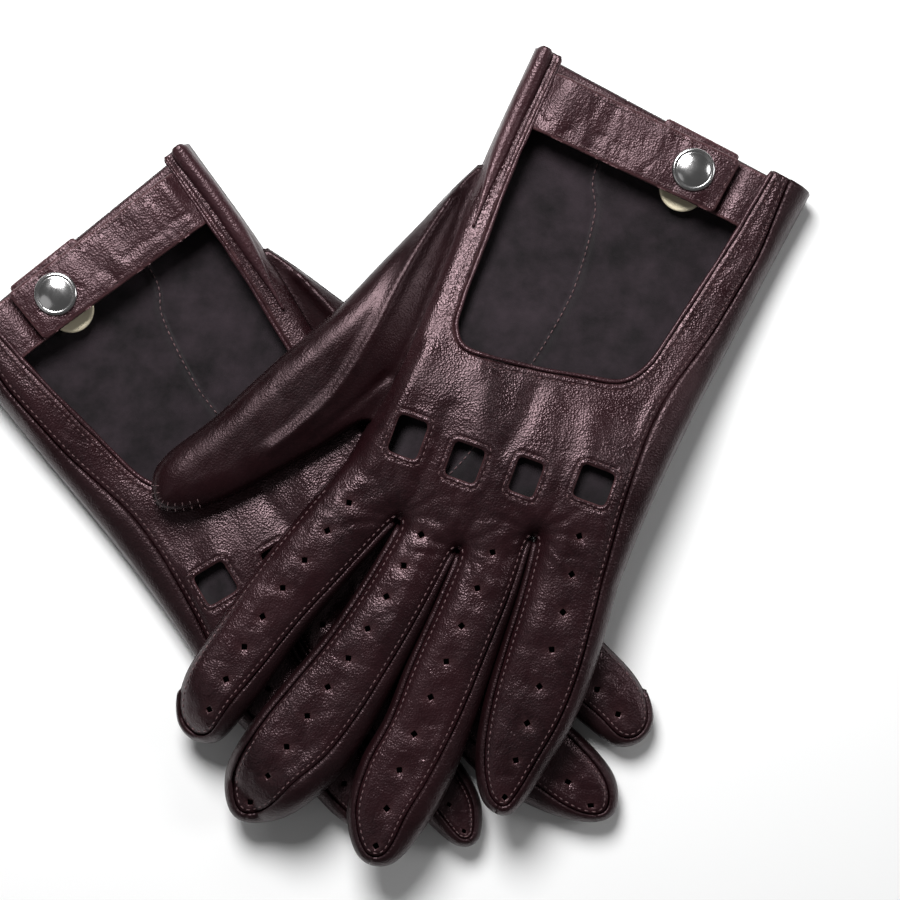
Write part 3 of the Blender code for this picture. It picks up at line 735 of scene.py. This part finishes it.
THREAD_COLOURS = (0.040, 0.014, 0.017), (0.120, 0.055, 0.060)
PAPER_COLOURS = (0.900, 0.902, 0.902), (0.915, 0.916, 0.916)


def glove_materials(side):
    angle = -TURNS[side] if side == "left" else TURNS[side]
    made = {key: leather_material(f"{side} {name}", dark, light, roughness, angle, **grain)
            for key, (name, dark, light, roughness, grain) in LEATHERS.items()}
    made["suede"] = suede_material(f"{side} suede inside", *SUEDE_COLOURS)
    return made


THREAD = thread_material()
NICKEL = metal_material("polished nickel", (0.58, 0.57, 0.57), 0.12, 0.25)
SATIN = metal_material("satin nickel", (0.62, 0.61, 0.60), 0.26, 0.5)
BRASS = metal_material("pale brass", (1.0, 0.90, 0.66), 0.42, 0.4, 0.3)


# ---------------------------------------------------------------- the hand's heights

# A line on the back of the hand, how high it stands and how wide it is, mm.
SOFT_FOLDS = [
    ([(-14, 90), (-9, 99), (-5.5, 108.5)], 0.8, 4.2),
    ([(2, 88), (3, 98), (2, 106)], -0.55, 2.6),
    ([(-31, 92), (-31.5, 106), (-34, 122)], 0.6, 3.4),
    ([(-17, 104), (-15.5, 118), (-14.6, 130)], -0.4, 2.6),
    ([(20, 88), (24, 97)], 0.5, 4),
    ([(38, 80), (37, 95), (41, 112)], 0.5, 3),
    ([(-33, 128), (-37, 150), (-40, 172)], -0.35, 2.2),
    ([(-4, 150), (-2, 176), (-6, 200)], 0.35, 2.8),
    ([(20, 140), (24, 165), (26, 190)], 0.35, 3),
]
SUEDE_RISE = [(-5, -0.6), (5, -0.3), (20, 3), (60, 4.6), (88, 6.2), (104, 8.6), (122, 8.6),
              (140, 5), (240, 4.2)]

SWELL = 2.2                            # the knuckles stand up between the window and the fingers
SWELL_RISES_V = (82.0, 106.0)
SWELL_FALLS_V = (108.0, 138.0)
FINGERTIP_FALL = 0.8


def along_line(line):
    return Near(smooth_line(line, FINE_STEP))


def ridge(gap, size, width):
    return size * np.exp(-(gap / width) ** 2)


class Surfaces:
    """Heights of the outer leather of one glove's hand and thumb, with its folds and puckers."""

    def __init__(self, side, hand):
        self.side, self.hand = side, hand
        self.seed = 11 if side == "left" else 57
        self.near_seam = Near(smooth_closed(hand.seam))
        self.near_window = along_line(WINDOW)
        holes = np.vstack([smooth_closed(knuckle_hole(*hole)) for hole in KNUCKLE_HOLES])
        self.near_holes = Near(holes)
        self.near_hand_edge = along_line(THUMB_SIDE)
        self.near_thumb = along_line(THUMB)
        self.near_thumb_ridge = along_line(THUMB_RIDGE)
        self.near_quirk = along_line(QUIRK)
        self.soft_folds = [(along_line(line), size, width) for line, size, width in SOFT_FOLDS]
        self.near_palm_seam = along_line(PALM_SEAM)

    def folds(self, points):
        """Soft hollows and wrinkles of worn leather, mm."""
        s, v = points.T
        seed = self.seed
        height = 0.30 * noise(s / 17.0, v / 24.0, seed) + 0.07 * noise(s / 6.0, v / 9.0, seed + 1)
        height += 0.035 * noise(s / 2.4, v / 3.0, seed + 2)
        height += SWELL * smoothstep(*SWELL_RISES_V, v) * (1.0 - smoothstep(*SWELL_FALLS_V, v))
        height -= FINGERTIP_FALL * smoothstep(150.0, 226.0, v)
        fingers = smoothstep(128.0, 146.0, v)
        height += fingers * (0.16 * noise(s / 12.0, v / 7.0, seed + 3)
                             + 0.20 * creases(points, 0.35, 8.0, 6.0, seed + 4)
                             + 0.12 * creases(points, -0.3, 6.0, 4.2, seed + 5))
        height += (1.0 - fingers) * 0.14 * creases(points, 1.25, 16.0, 6.5, seed + 6)
        for near, size, width in self.soft_folds:
            height += ridge(near(points)[0], size, width)
        for centre in CROTCHES:
            reach = np.linalg.norm(points - centre, axis=1)
            around = np.arctan2(v - centre[1], s - centre[0])
            fade = np.exp(-(reach / 17.0) ** 2) * smoothstep(0.5, 3.0, reach)
            spokes = np.sin(around * 11.0 + 2.0 * noise(s / 5.0, v / 5.0, seed + 8))
            height -= fade * 0.34 * np.maximum(0.0, spokes)
        return height

    def back(self, points):
        hand = self.hand
        height = hand.outer(points) + self.folds(points) * smoothstep(0.0, 5.0, self.near_seam(points)[0])
        gap, _ = self.near_seam(points)
        height -= ridge(gap, 0.30, 0.5)
        height += ridge(gap - 2.4, 0.12, 0.9)
        height -= ridge(gap - STITCH_INSET, 0.16, 0.45)
        gap, _ = self.near_hand_edge(points)
        height -= 1.3 * ridge(gap - 6.4, 1.0, 0.8) * (1.0 - smoothstep(34.0, 56.0, points[:, 1]))
        gap, _ = self.near_window(points)
        height -= ridge(gap, 0.5, 0.6) + ridge(gap - 2.3, 0.25, 0.5)
        height += ridge(gap - 1.2, 0.25, 0.6)
        gap, _ = self.near_holes(points)
        puckers = np.sin(np.arctan2(points[:, 1] - 112.0, points[:, 0] * 2.0) * 40.0)
        height += -ridge(gap, 0.35, 0.25) + ridge(gap - 0.8, 0.22, 0.5) - ridge(gap - 1.5, 0.20, 0.4)
        height += ridge(gap - 2.4, 0.12, 0.8) + 0.04 * puckers * np.exp(-(gap / 4.0) ** 2)
        return height

    # Lighter rims round the knuckle holes and along the window: worn raw edge and painted highlight.
    def back_wear_and_highlight(self, points):
        gap, _ = self.near_holes(points)
        other, _ = self.near_window(points)
        patch = 0.5 + 0.5 * noise(points[:, 0] / 2.0, points[:, 1] / 2.0, self.seed + 20)
        worn_and_lit = ridge(gap, 0.55, 0.22) * (0.4 + 0.6 * patch) + ridge(other, 0.4, 0.7) * patch
        return np.clip(worn_and_lit, 0.0, 1.0)

    def palm(self, points):
        gap, nearest = self.hand.near(points)
        edge = 2 * EDGE_HEIGHT - self.hand.dense_edge_height[nearest]
        edge = np.maximum(0.5, edge - (EDGE_HEIGHT - edge) * 0.7)
        height = edge * (1.0 - rounded(gap / BOTTOM_ROUND))
        return height + 0.12 * (1.0 + noise(points[:, 0] / 9.0, points[:, 1] / 9.0, self.seed + 9))

    def suede(self, points):
        """The palm's rough inner face, which stands up into the hollow of the empty glove."""
        s, v = points.T
        gap, _ = self.hand.near(points)
        rise = np.interp(v, *np.array(SUEDE_RISE).T)
        height = LEATHER + 0.5 + rise * smoothstep(1.0, 15.0, gap)
        height += 0.8 * noise(s / 8.0, v / 40.0, self.seed + 44) * smoothstep(2.0, 8.0, gap)
        fold, _ = self.near_palm_seam(points)
        left = inside(points, self.palm_thumb_part)
        past_the_hem = smoothstep(3.0, 16.0, v)
        height += (ridge(fold, 1.5, np.where(left, 0.45, 1.3)) + np.where(left, 0.0, 0.35)) * past_the_hem
        return height + 0.25 * creases(points, 1.9, 6.0, 3.0, self.seed + 45) * smoothstep(88.0, 100.0, v)

    def thumb(self, points):
        s, v = points.T
        gap, _ = self.near_thumb(points)
        out, _ = self.near_hand_edge(points)
        out = np.where(inside(points, self.hand.points), 0.0, out)
        dome = EDGE_HEIGHT + (10.6 - EDGE_HEIGHT) * rounded(gap / 8.5)
        dome += 0.14 * noise(s / 13.0, v / 20.0, self.seed + 12) * smoothstep(0.0, 4.0, gap)
        dome += 0.10 * creases(points, 0.7, 8.0, 5.0, self.seed + 13) * smoothstep(0.0, 4.0, gap)
        height = np.minimum(dome, 7.0 + 3.6 * smoothstep(0.0, 11.0, out))
        fold, _ = self.near_thumb_ridge(points)
        height += ridge(fold, 0.8, 1.4) - ridge(fold - 3.4, 0.14, 1.7) * (out > 0.5)
        quirk, _ = self.near_quirk(points)
        height -= ridge(quirk, 0.8, 0.9)
        return np.where(out <= 0.0, np.minimum(height, 7.2), height)

    def thumb_palm(self, points):
        gap, _ = self.near_thumb(points)
        return EDGE_HEIGHT * (1.0 - rounded(gap / BOTTOM_ROUND)) + 0.15


# ---------------------------------------------------------------- pieces of one glove

cached_sheets = {}


def cut(key, boundary, holes, rings, step, extra=()):
    """A cut sheet's points and triangles: both gloves share them."""
    if key not in cached_sheets:
        free = filling(boundary, holes, rings, step)
        if len(extra):
            gap, _ = Near(np.vstack(extra))(free)
            free = np.vstack([free[gap > 0.35], *extra])
        cached_sheets[key] = triangulated(boundary, holes, free)
    return cached_sheets[key]


def add_wear_and_highlight(made, values):
    made.data.attributes.new("wear_and_highlight", "FLOAT", "POINT").data.foreach_set("value", values.astype(np.float32))


def leather_sheet(name, side, flat, faces, height, materials, thickness=LEATHER, face_down=False):
    """A sheet with its outside up, or down where face_down is set, and its inside in the second material."""
    vertices = place(side, np.column_stack([flat, height]))
    wound = upward(vertices, faces)
    if face_down:
        wound = wound[:, ::-1]
    return thicken(new_object(name, vertices, wound, materials), thickness, inner=1)


def slab(name, side, flat, faces, top, bottom, surface, wear_and_highlight):
    """A closed piece with a top and an underside over the same cut sheet, and a wall between them."""
    count = len(flat)
    vertices = np.vstack([place(side, np.column_stack([flat, level])) for level in (top, bottom)])
    over = upward(vertices[:count], faces)
    edges = {edge: True for a, b, c in over for edge in ((a, b), (b, c), (c, a))}
    wall = [(end, start, start + count, end + count) for start, end in edges if (end, start) not in edges]
    made = new_object(name, vertices, [*over, *(over[:, ::-1] + count), *wall], [surface])
    add_wear_and_highlight(made, np.concatenate([wear_and_highlight, wear_and_highlight]))
    return made


def finish_piece(made, body, slot, *nodes):
    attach(made, body)
    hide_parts(*nodes)
    return made


def back_boundary(hand):
    window = window_line(1.0)
    seam = hand.seam
    mouth_low, mouth_high = window[0, 0], window[-1, 0]
    right_lip = [(s, 0.0) for s in np.linspace(seam[-1, 0], mouth_high, 6)[1:]]
    left_lip = [(s, 0.0) for s in np.linspace(mouth_low, seam[0, 0], 8)[:-1]]
    return np.vstack([seam, right_lip, window[::-1], left_lip])


def build_back(side, hand, surfaces, materials):
    holes = [knuckle_hole(*hole) for hole in KNUCKLE_HOLES]
    rims = [knuckle_hole(*hole, grow=grow) for hole in KNUCKLE_HOLES for grow in RIM_OFFSETS]
    punched = perforation_squares()
    around = [square + (square - square.mean(0)) * 0.45 for square in punched]
    flat, faces = cut("back", back_boundary(hand), holes + punched, (0.5, 1.2, 2.0), GRID, rims + around)
    lips, _ = Near(np.vstack(punched))(flat)
    height = surfaces.back(flat) - ridge(lips, 0.35, 0.5)
    made = leather_sheet(f"{side}_back", side, flat, faces, height, [materials["back"], materials["suede"]])
    # The rims of the knuckle holes and perforations get the lighter colour: worn raw edge and painted
    # highlight.
    add_wear_and_highlight(made, np.clip(surfaces.back_wear_and_highlight(flat) + ridge(lips, 0.2, 0.3), 0.0, 1.0))
    finish_piece(made, f"{side}_glove", "burgundy_leather", f"{side}_back_panel",
                 f"{side}_index_side_strip", f"{side}_cuff_side_strip")


def build_palms(side, hand, surfaces, materials):
    seam = smooth_line(PALM_SEAM, 1.5)
    split = hand.spans["index"][2]
    thumb_cuff = np.array([(s, 0.0) for s in np.linspace(PALM_SEAM[0][0], THUMB_SIDE[0][0], 20)[1:-1]])
    little_cuff = np.array([(s, 0.0) for s in np.linspace(LITTLE_SIDE[-1][0], PALM_SEAM[0][0], 36)[1:-1]])
    parts = {"palm_thumb_side": np.vstack([hand.points[:split + 1], seam[::-1] - [0.2, 0.0], thumb_cuff]),
             "palm_little_side": np.vstack([seam + [0.2, 0.0], hand.points[split + 2:], little_cuff])}
    for name, boundary in parts.items():
        flat, faces = cut(name, boundary, [], (0.7, 1.7, 3.0), 2.0)
        height = surfaces.palm(flat)
        made = leather_sheet(f"{side}_{name}_leather", side, flat, faces, height,
                             [materials["back"], materials["suede"]], face_down=True)
        finish_piece(made, f"{side}_glove", "palm_leather_suede_inside", f"{side}_{name}")
    surfaces.palm_thumb_part = parts["palm_thumb_side"]
    inset = hand.points + hand.normals * 1.2
    boundary = np.vstack([inset, [(s, 0.6) for s in np.linspace(43.0, -43.0, 60)]])
    ridge_rows = [seam + normals_of(seam) * offset for offset in (-1.2, -0.5, 0.0, 0.5, 1.2)]
    ridge_rows = [row[(row[:, 1] > 2.0) & (row[:, 1] < 130.0)] for row in ridge_rows]
    flat, faces = cut("suede", boundary, [], (), 1.5, ridge_rows)
    made = leather_sheet(f"{side}_palm_suede_face", side, flat, faces, surfaces.suede(flat),
                         [materials["suede"], materials["suede"]], thickness=SUEDE_THICKNESS)
    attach(made, f"{side}_glove")


def build_thumb(side, hand, surfaces, materials):
    curve = smooth_line(THUMB, 1.0)
    edge = hand.points[:hand.spans["cuff"][1]]
    edge = edge[(edge[:, 1] > 37.0) & (edge[:, 1] < 118.0)][::-1]
    tuck = np.interp(edge[:, 1], [37.0, 44.0, 108.0, 118.0], [0.6, 4.5, 4.5, 0.6])
    boundary = np.vstack([curve, edge + np.column_stack([tuck, np.zeros(len(tuck))])])
    flat, faces = cut("thumb", boundary, [], (0.6, 1.4), 1.15)
    made = leather_sheet(f"{side}_thumb_top", side, flat, faces, surfaces.thumb(flat),
                         [materials["thumb"], materials["suede"]])
    finish_piece(made, f"{side}_glove", "burgundy_leather", f"{side}_thumb_back",
                 f"{side}_thumb_side_strip")
    flat, faces = cut("thumb palm", np.vstack([curve, edge]), [], (0.7, 1.7, 3.0), 2.0)
    made = leather_sheet(f"{side}_thumb_underside", side, flat, faces, surfaces.thumb_palm(flat),
                         [materials["back"], materials["suede"]], face_down=True)
    finish_piece(made, f"{side}_glove", "burgundy_leather", f"{side}_thumb_palm")


def side_rows(hand, surfaces, low, high, rows=8):
    seam, edge = hand.seam[low:high + 1], hand.points[low:high + 1]
    width = np.linalg.norm(edge - seam, axis=1)
    result = []
    fill = np.minimum(width, 4.0) / 4.0
    for f in np.linspace(0.0, 1.0, rows):
        plan = seam * (1 - f) + edge * f
        height = hand.outer(plan)
        arch = math.sin(math.pi * f)
        height += fill * (0.35 * arch - 0.75 * f * (1 - f)) - 0.30 * math.exp(-(f / 0.12) ** 2)
        height += fill * 0.3 * noise(plan[:, 0] / 4.0, plan[:, 1] / 7.0, surfaces.seed + 30) * arch
        result.append(np.column_stack([plan, height]))
    return result


def build_sides(side, hand, surfaces, materials):
    names = {}
    for finger in FINGERS:
        low, tip, high = hand.spans[finger]
        names[f"{finger}_fourchette_thumb_side"] = (low, tip)
        names[f"{finger}_fourchette_little_side"] = (tip, high)
    turned_in, index_tip = names.pop("index_fourchette_thumb_side")
    turned_in += int((index_tip - turned_in) * INDEX_SEAM_STARTS)
    names["index_fourchette_little_side"] = (turned_in, hand.spans["index"][2])
    low = names.pop("little_fourchette_little_side")[0]
    names["little_side_strip"] = (low, hand.spans["little_side"][1])
    for name, (low, high) in names.items():
        rows = side_rows(hand, surfaces, low, high)
        made = loft(f"{side}_{name}_leather", side, rows, [materials["side"]], LEATHER, flip=side == "right")
        finish_piece(made, f"{side}_glove", "side_leather", f"{side}_{name}")


def build_edgings(side, surfaces, materials):
    body = f"{side}_glove"
    window = window_line(0.8)
    run = run_length(window)
    height = surfaces.back(window + normals_of(window) * -1.4) - 0.15
    plan = window + normals_of(window) * (0.28 + 0.12 * noise(run / 6.0, run * 0, 5))[:, None]
    ends = rounded((0.15 + np.minimum(run, run[-1] - run)) / 1.6)
    radius = (0.62 + 0.12 * noise(run / 5.0, run * 0, 4)) * ends
    made = tube(f"{side}_window_welt", side, plan, blurred(height, 3) - 0.3 * (1.0 - ends), radius,
                [materials["edge"]], sides=9, squash=0.9)
    finish_piece(made, body, "edge_leather", f"{side}_window_binding")

    edge = smooth_line(THUMB_SIDE, 0.8)
    edge = edge[edge[:, 1] < 56.0]
    run = run_length(edge)
    taper = smoothstep(0.0, 30.0, run[-1] - run)
    start = rounded(np.minimum(1.0, (run + 0.15) / 2.6))
    radius = 0.5 + 2.3 * taper + 0.12 * noise(run / 7.0, run * 0, surfaces.seed + 4)
    radius *= 0.25 + 0.75 * start
    inset = 3.3 + 0.8 * (1 - taper) + 0.2 * noise(run / 16.0, run * 0, surfaces.seed + 3)
    plan = edge + normals_of(edge) * inset[:, None]
    crest = np.interp(edge[:, 1], [0.0, 30.0, 56.0], [15.9, 15.2, 12.6])
    made = tube(f"{side}_rolled_edge", side, plan, crest - radius, radius, [materials["edge"]], sides=18)
    finish_piece(made, body, "edge_leather", f"{side}_rolled_cuff_edge")

    line = np.array([(s, 2.2) for s in np.linspace(-43.5, 43.5, 90)])
    run = run_length(line)
    rows = []
    for turn in np.linspace(0.0, 2 * math.pi, 12, endpoint=False):
        plan = line + [0.0, 1.9 * math.cos(turn)]
        lift = LEATHER + 0.75 + 0.55 * math.sin(turn) + 0.1 * noise(run / 6.0, run * 0, 8)
        lift = lift + surfaces.palm(plan)
        rows.append(np.column_stack([plan, lift]))
    made = loft(f"{side}_cuff_hem", side, rows, [materials["edge"]], closed=True, flip=side == "left")
    finish_piece(made, body, "edge_leather", f"{side}_palm_cuff_hem")

    made = pad(f"{side}_tab_on_cuff", side, CUFF_TAB, 1.2, 2.9, 1.5, 0.5, materials["edge"],
               surfaces.seed + 40)
    finish_piece(made, body, "edge_leather", f"{side}_cuff_tab")


def rounded_outline(corners, radius, step=0.8):
    """A polygon's outline with its corners rounded."""
    corners = np.asarray(corners, float)
    points = []
    for before, corner, after in zip(np.roll(corners, 1, 0), corners, np.roll(corners, -1, 0)):
        a = (before - corner) / np.linalg.norm(before - corner) * radius
        b = (after - corner) / np.linalg.norm(after - corner) * radius
        for f in (0.0, 0.25, 0.5, 0.75, 1.0):
            points.append(corner + a * (1 - f) ** 2 + b * f ** 2)
    return evenly(np.vstack([points, points[:1]]), step)


def pad(name, side, corners, corner_radius, low, thickness, crown, surface, seed, wrinkle=0.2, shape=None,
        holes=(), step=0.9):
    """A flat piece of doubled leather with soft edges: low is its underside."""
    outline = rounded_outline(corners, corner_radius)
    turn = outline - outline.mean(0)
    if (turn[:, 0] * np.roll(turn[:, 1], -1) - turn[:, 1] * np.roll(turn[:, 0], -1)).sum() > 0:
        outline = outline[::-1]
    flat, faces = cut(name.split("_", 1)[1], outline, list(holes), (0.35, 0.9), step)
    gap, _ = Near(smooth_closed(outline))(flat)
    s, v = flat.T
    edge = rounded(gap / 1.6)
    height = low + thickness - crown + crown * edge
    folds = wrinkle * (noise(s / 4.0, v / 9.0, seed) + 0.8 * creases(flat, 1.45, 9.0, 3.4, seed + 1))
    height += folds * (0.4 + 0.6 * edge) - ridge(gap - 1.9, 0.18, 0.45)
    underside = low + 0.3 * crown * (1.0 - edge) + 0.4 * folds
    if shape is not None:
        height = height + shape(flat)
        underside = underside + shape(flat)
    # Lighter colour along the pad's edges: worn edge and painted highlight.
    wear_and_highlight = 0.35 * ridge(gap, 1.0, 0.5)
    return slab(name, side, flat, faces, height, underside, surface, wear_and_highlight)


# The snap's turned parts: distance from the axis and height, from the middle outwards, mm.
CAP = [(0.0, 14.2), (1.5, 14.2), (1.5, 15.65), (5.7, 15.65), (6.15, 15.8), (6.25, 16.1), (6.2, 16.45),
       (6.0, 16.75), (5.7, 16.9), (5.35, 16.92), (5.1, 16.85), (4.9, 16.83), (4.6, 16.95), (4.0, 17.2),
       (3.0, 17.48), (2.0, 17.65), (1.0, 17.74), (0.0, 17.77)]
SOCKET = [(0.0, 13.7), (4.5, 13.7), (4.9, 13.5), (5.0, 13.2), (5.0, 11.9), (4.85, 11.65), (4.5, 11.5),
          (3.6, 11.5), (3.3, 11.8), (2.5, 11.8), (2.25, 11.6), (2.25, 12.8), (0.0, 12.8)]
STUD = [(0.0, 10.1), (1.5, 10.1), (1.5, 11.4), (1.75, 11.6), (1.9, 11.95), (1.8, 12.25), (1.4, 12.4),
        (0.0, 12.4)]
PLATE = [(0.0, 8.9), (6.3, 8.9), (6.6, 9.05), (6.7, 9.3), (6.55, 9.6), (6.2, 9.7), (5.6, 9.72), (5.3, 9.6),
         (0.0, 9.6)]
SNAP_HOLE_RADIUS = 1.9
# Corners of the flat doubled pieces, mm.
STRAP = [(-38.2, 4.6), (22.9, 2.1), (22.9, 19.1), (-38.2, 22.4)]
STRAP_STITCHES = [(-33.0, 5.9), (21.9, 3.6), (21.9, 17.6), (-33.0, 20.8)]
STRAP_BASE = [(5.0, 2.6), (33.4, 2.2), (33.4, 18.9), (5.0, 18.6)]
CUFF_TAB = [(-1.4, -0.6), (22.4, -0.9), (22.4, 4.6), (-1.4, 4.6)]


def build_strap(side, surfaces, materials):
    hole = circle(SNAP, SNAP_HOLE_RADIUS, 24)

    def dive(flat):
        return -2.4 * (1 - smoothstep(-37.0, -30.5, flat[:, 0])) + 0.35 * np.sin(flat[:, 0] / 9.0)

    made = pad(f"{side}_strap_leather", side, STRAP, 1.4, 13.9, 1.6, 0.6, materials["strap"],
               surfaces.seed + 50, wrinkle=0.30, shape=dive, holes=[hole], step=0.85)
    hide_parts(f"{side}_strap")
    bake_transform(made)
    edges = rounded_outline(STRAP_STITCHES, 0.8)
    keep = edges[:, 0] > -31.0
    first = int(np.nonzero(~keep)[0][0])
    edges = np.roll(edges, -first, axis=0)
    edges = edges[edges[:, 0] > -31.0]
    levels = 15.35 + 0.35 * np.sin(edges[:, 0] / 9.0)
    made = stitches(f"{side}_strap_thread", side, [(edges, levels)], gap=2.3, length=1.6)
    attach(made, f"{side}_strap")
    made = turned(f"{side}_snap_dome", side, SNAP, CAP, [NICKEL])
    finish_piece(made, f"{side}_strap", "polished_nickel", f"{side}_snap_cap")
    made = turned(f"{side}_snap_ring", side, SNAP, SOCKET, [SATIN])
    finish_piece(made, f"{side}_strap", "satin_nickel", f"{side}_snap_socket")


def circle(centre, radius, sides):
    turn = np.linspace(0.0, 2 * math.pi, sides, endpoint=False)
    return np.column_stack([centre[0] + radius * np.cos(turn), centre[1] + radius * np.sin(turn)])


def build_tab(side, surfaces, materials):
    def step_up(flat):
        return 3.2 * smoothstep(19.5, 27.5, flat[:, 0])

    hole = circle(SNAP, SNAP_HOLE_RADIUS, 24)
    made = pad(f"{side}_strap_base", side, STRAP_BASE, 1.6, 9.9, 1.05, 0.3, materials["strap"],
               surfaces.seed + 60, wrinkle=0.12, shape=step_up, holes=[hole])
    finish_piece(made, f"{side}_glove", "strap_leather", f"{side}_strap_tab")
    made = turned(f"{side}_snap_post", side, SNAP, STUD, [SATIN], sides=40)
    finish_piece(made, f"{side}_glove", "satin_nickel", f"{side}_snap_stud")
    made = turned(f"{side}_brass_plate", side, (SNAP[0], SNAP[1] + 5.3), PLATE, [BRASS])
    finish_piece(made, f"{side}_glove", "pale_brass", f"{side}_snap_back_plate")


def build_thread(side, hand, surfaces):
    runs = []
    first = hand.spans["index"][0] + 10
    line = hand.stitch_line[first:]
    runs.append((line, surfaces.back(line) + 0.02))
    window = window_line(0.8)
    row = window + normals_of(window) * -WINDOW_STITCH_INSET
    row = row[row[:, 1] > 0.5]
    runs.append((row, surfaces.back(row) + 0.02))
    for hole in KNUCKLE_HOLES:
        ring = smooth_closed(knuckle_hole(*hole, grow=HOLE_STITCH_INSET))
        runs.append((ring, surfaces.back(ring) + 0.02))
    seam = smooth_line(PALM_SEAM, 0.8)
    seam = seam[(seam[:, 1] > 5.0) & (seam[:, 1] < 124.0)]
    runs.append((seam, surfaces.suede(seam) - 0.02))
    made = stitches(f"{side}_seam_thread", side, runs)
    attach(made, f"{side}_glove")
    curve = smooth_line(THUMB, 0.8)
    tip = int(np.linalg.norm(curve - THUMB_TIP, axis=1).argmin())
    whip = []
    inner = curve + normals_of(curve) * 1.7
    outer = curve + normals_of(curve) * 0.3
    for i in range(max(0, tip - 4), tip + 22, 3):
        line = np.array([outer[i], inner[i]])
        line = line[0] + (line[1] - line[0]) * np.linspace(-0.4, 1.9, 5)[:, None]
        whip.append((line, surfaces.thumb(line) + 0.02))
    made = stitches(f"{side}_thumb_thread", side, whip, gap=1.5, length=1.6, radius=0.15)
    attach(made, f"{side}_glove")


def build_glove(side, hand):
    materials = glove_materials(side)
    surfaces = Surfaces(side, hand)
    build_back(side, hand, surfaces, materials)
    build_palms(side, hand, surfaces, materials)
    build_thumb(side, hand, surfaces, materials)
    build_sides(side, hand, surfaces, materials)
    build_edgings(side, surfaces, materials)
    build_strap(side, surfaces, materials)
    build_tab(side, surfaces, materials)
    build_thread(side, hand, surfaces)


# ---------------------------------------------------------------- stage, light and camera

def build_stage():
    mesh = bpy.data.meshes.new("paper")
    reach = 3.0
    level = -0.0004
    mesh.from_pydata([(-reach, -reach, level), (reach, -reach, level), (reach, reach, level),
                      (-reach, reach, level)], [], [(0, 1, 2, 3)])
    mesh.materials.append(floor_material())
    floor = bpy.data.objects.new("paper", mesh)
    bpy.context.scene.collection.objects.link(floor)

    world = bpy.data.worlds.new("studio")
    world.use_nodes = True
    background = world.node_tree.nodes["Background"]
    background.inputs["Color"].default_value = (1.0, 1.0, 1.0, 1.0)
    background.inputs["Strength"].default_value = 0.10
    bpy.context.scene.world = world
    bpy.context.scene.view_settings.view_transform = "Standard"

    for name, place_at, size, power in (("top softbox", (-0.12, 0.45, 0.64), 0.36, 9.2),
                                        ("right softbox", (1.15, 0.20, 0.80), 0.5, 3.5),
                                        ("left fill", (-0.9, -0.4, 1.1), 0.9, 0.8)):
        data = bpy.data.lights.new(name, "AREA")
        data.shape = "DISK"
        data.size = size
        data.energy = power
        lamp = bpy.data.objects.new(name, data)
        lamp.location = place_at
        lamp.rotation_euler = (-Vector(place_at)).to_track_quat("-Z", "Y").to_euler()
        bpy.context.scene.collection.objects.link(lamp)


def build_camera():
    data = bpy.data.cameras.new("camera")
    data.lens = 100.0
    data.sensor_width = 36.0
    data.clip_start = 0.01
    camera = bpy.data.objects.new("camera", data)
    camera.location = (0.0206, 0.0006, 0.73)
    camera.rotation_euler = (0.0, 0.0, 0.0)
    bpy.context.scene.collection.objects.link(camera)
    bpy.context.scene.camera = camera


hand = Hand()
for side in ("right", "left"):
    build_glove(side, hand)
build_stage()
build_camera()
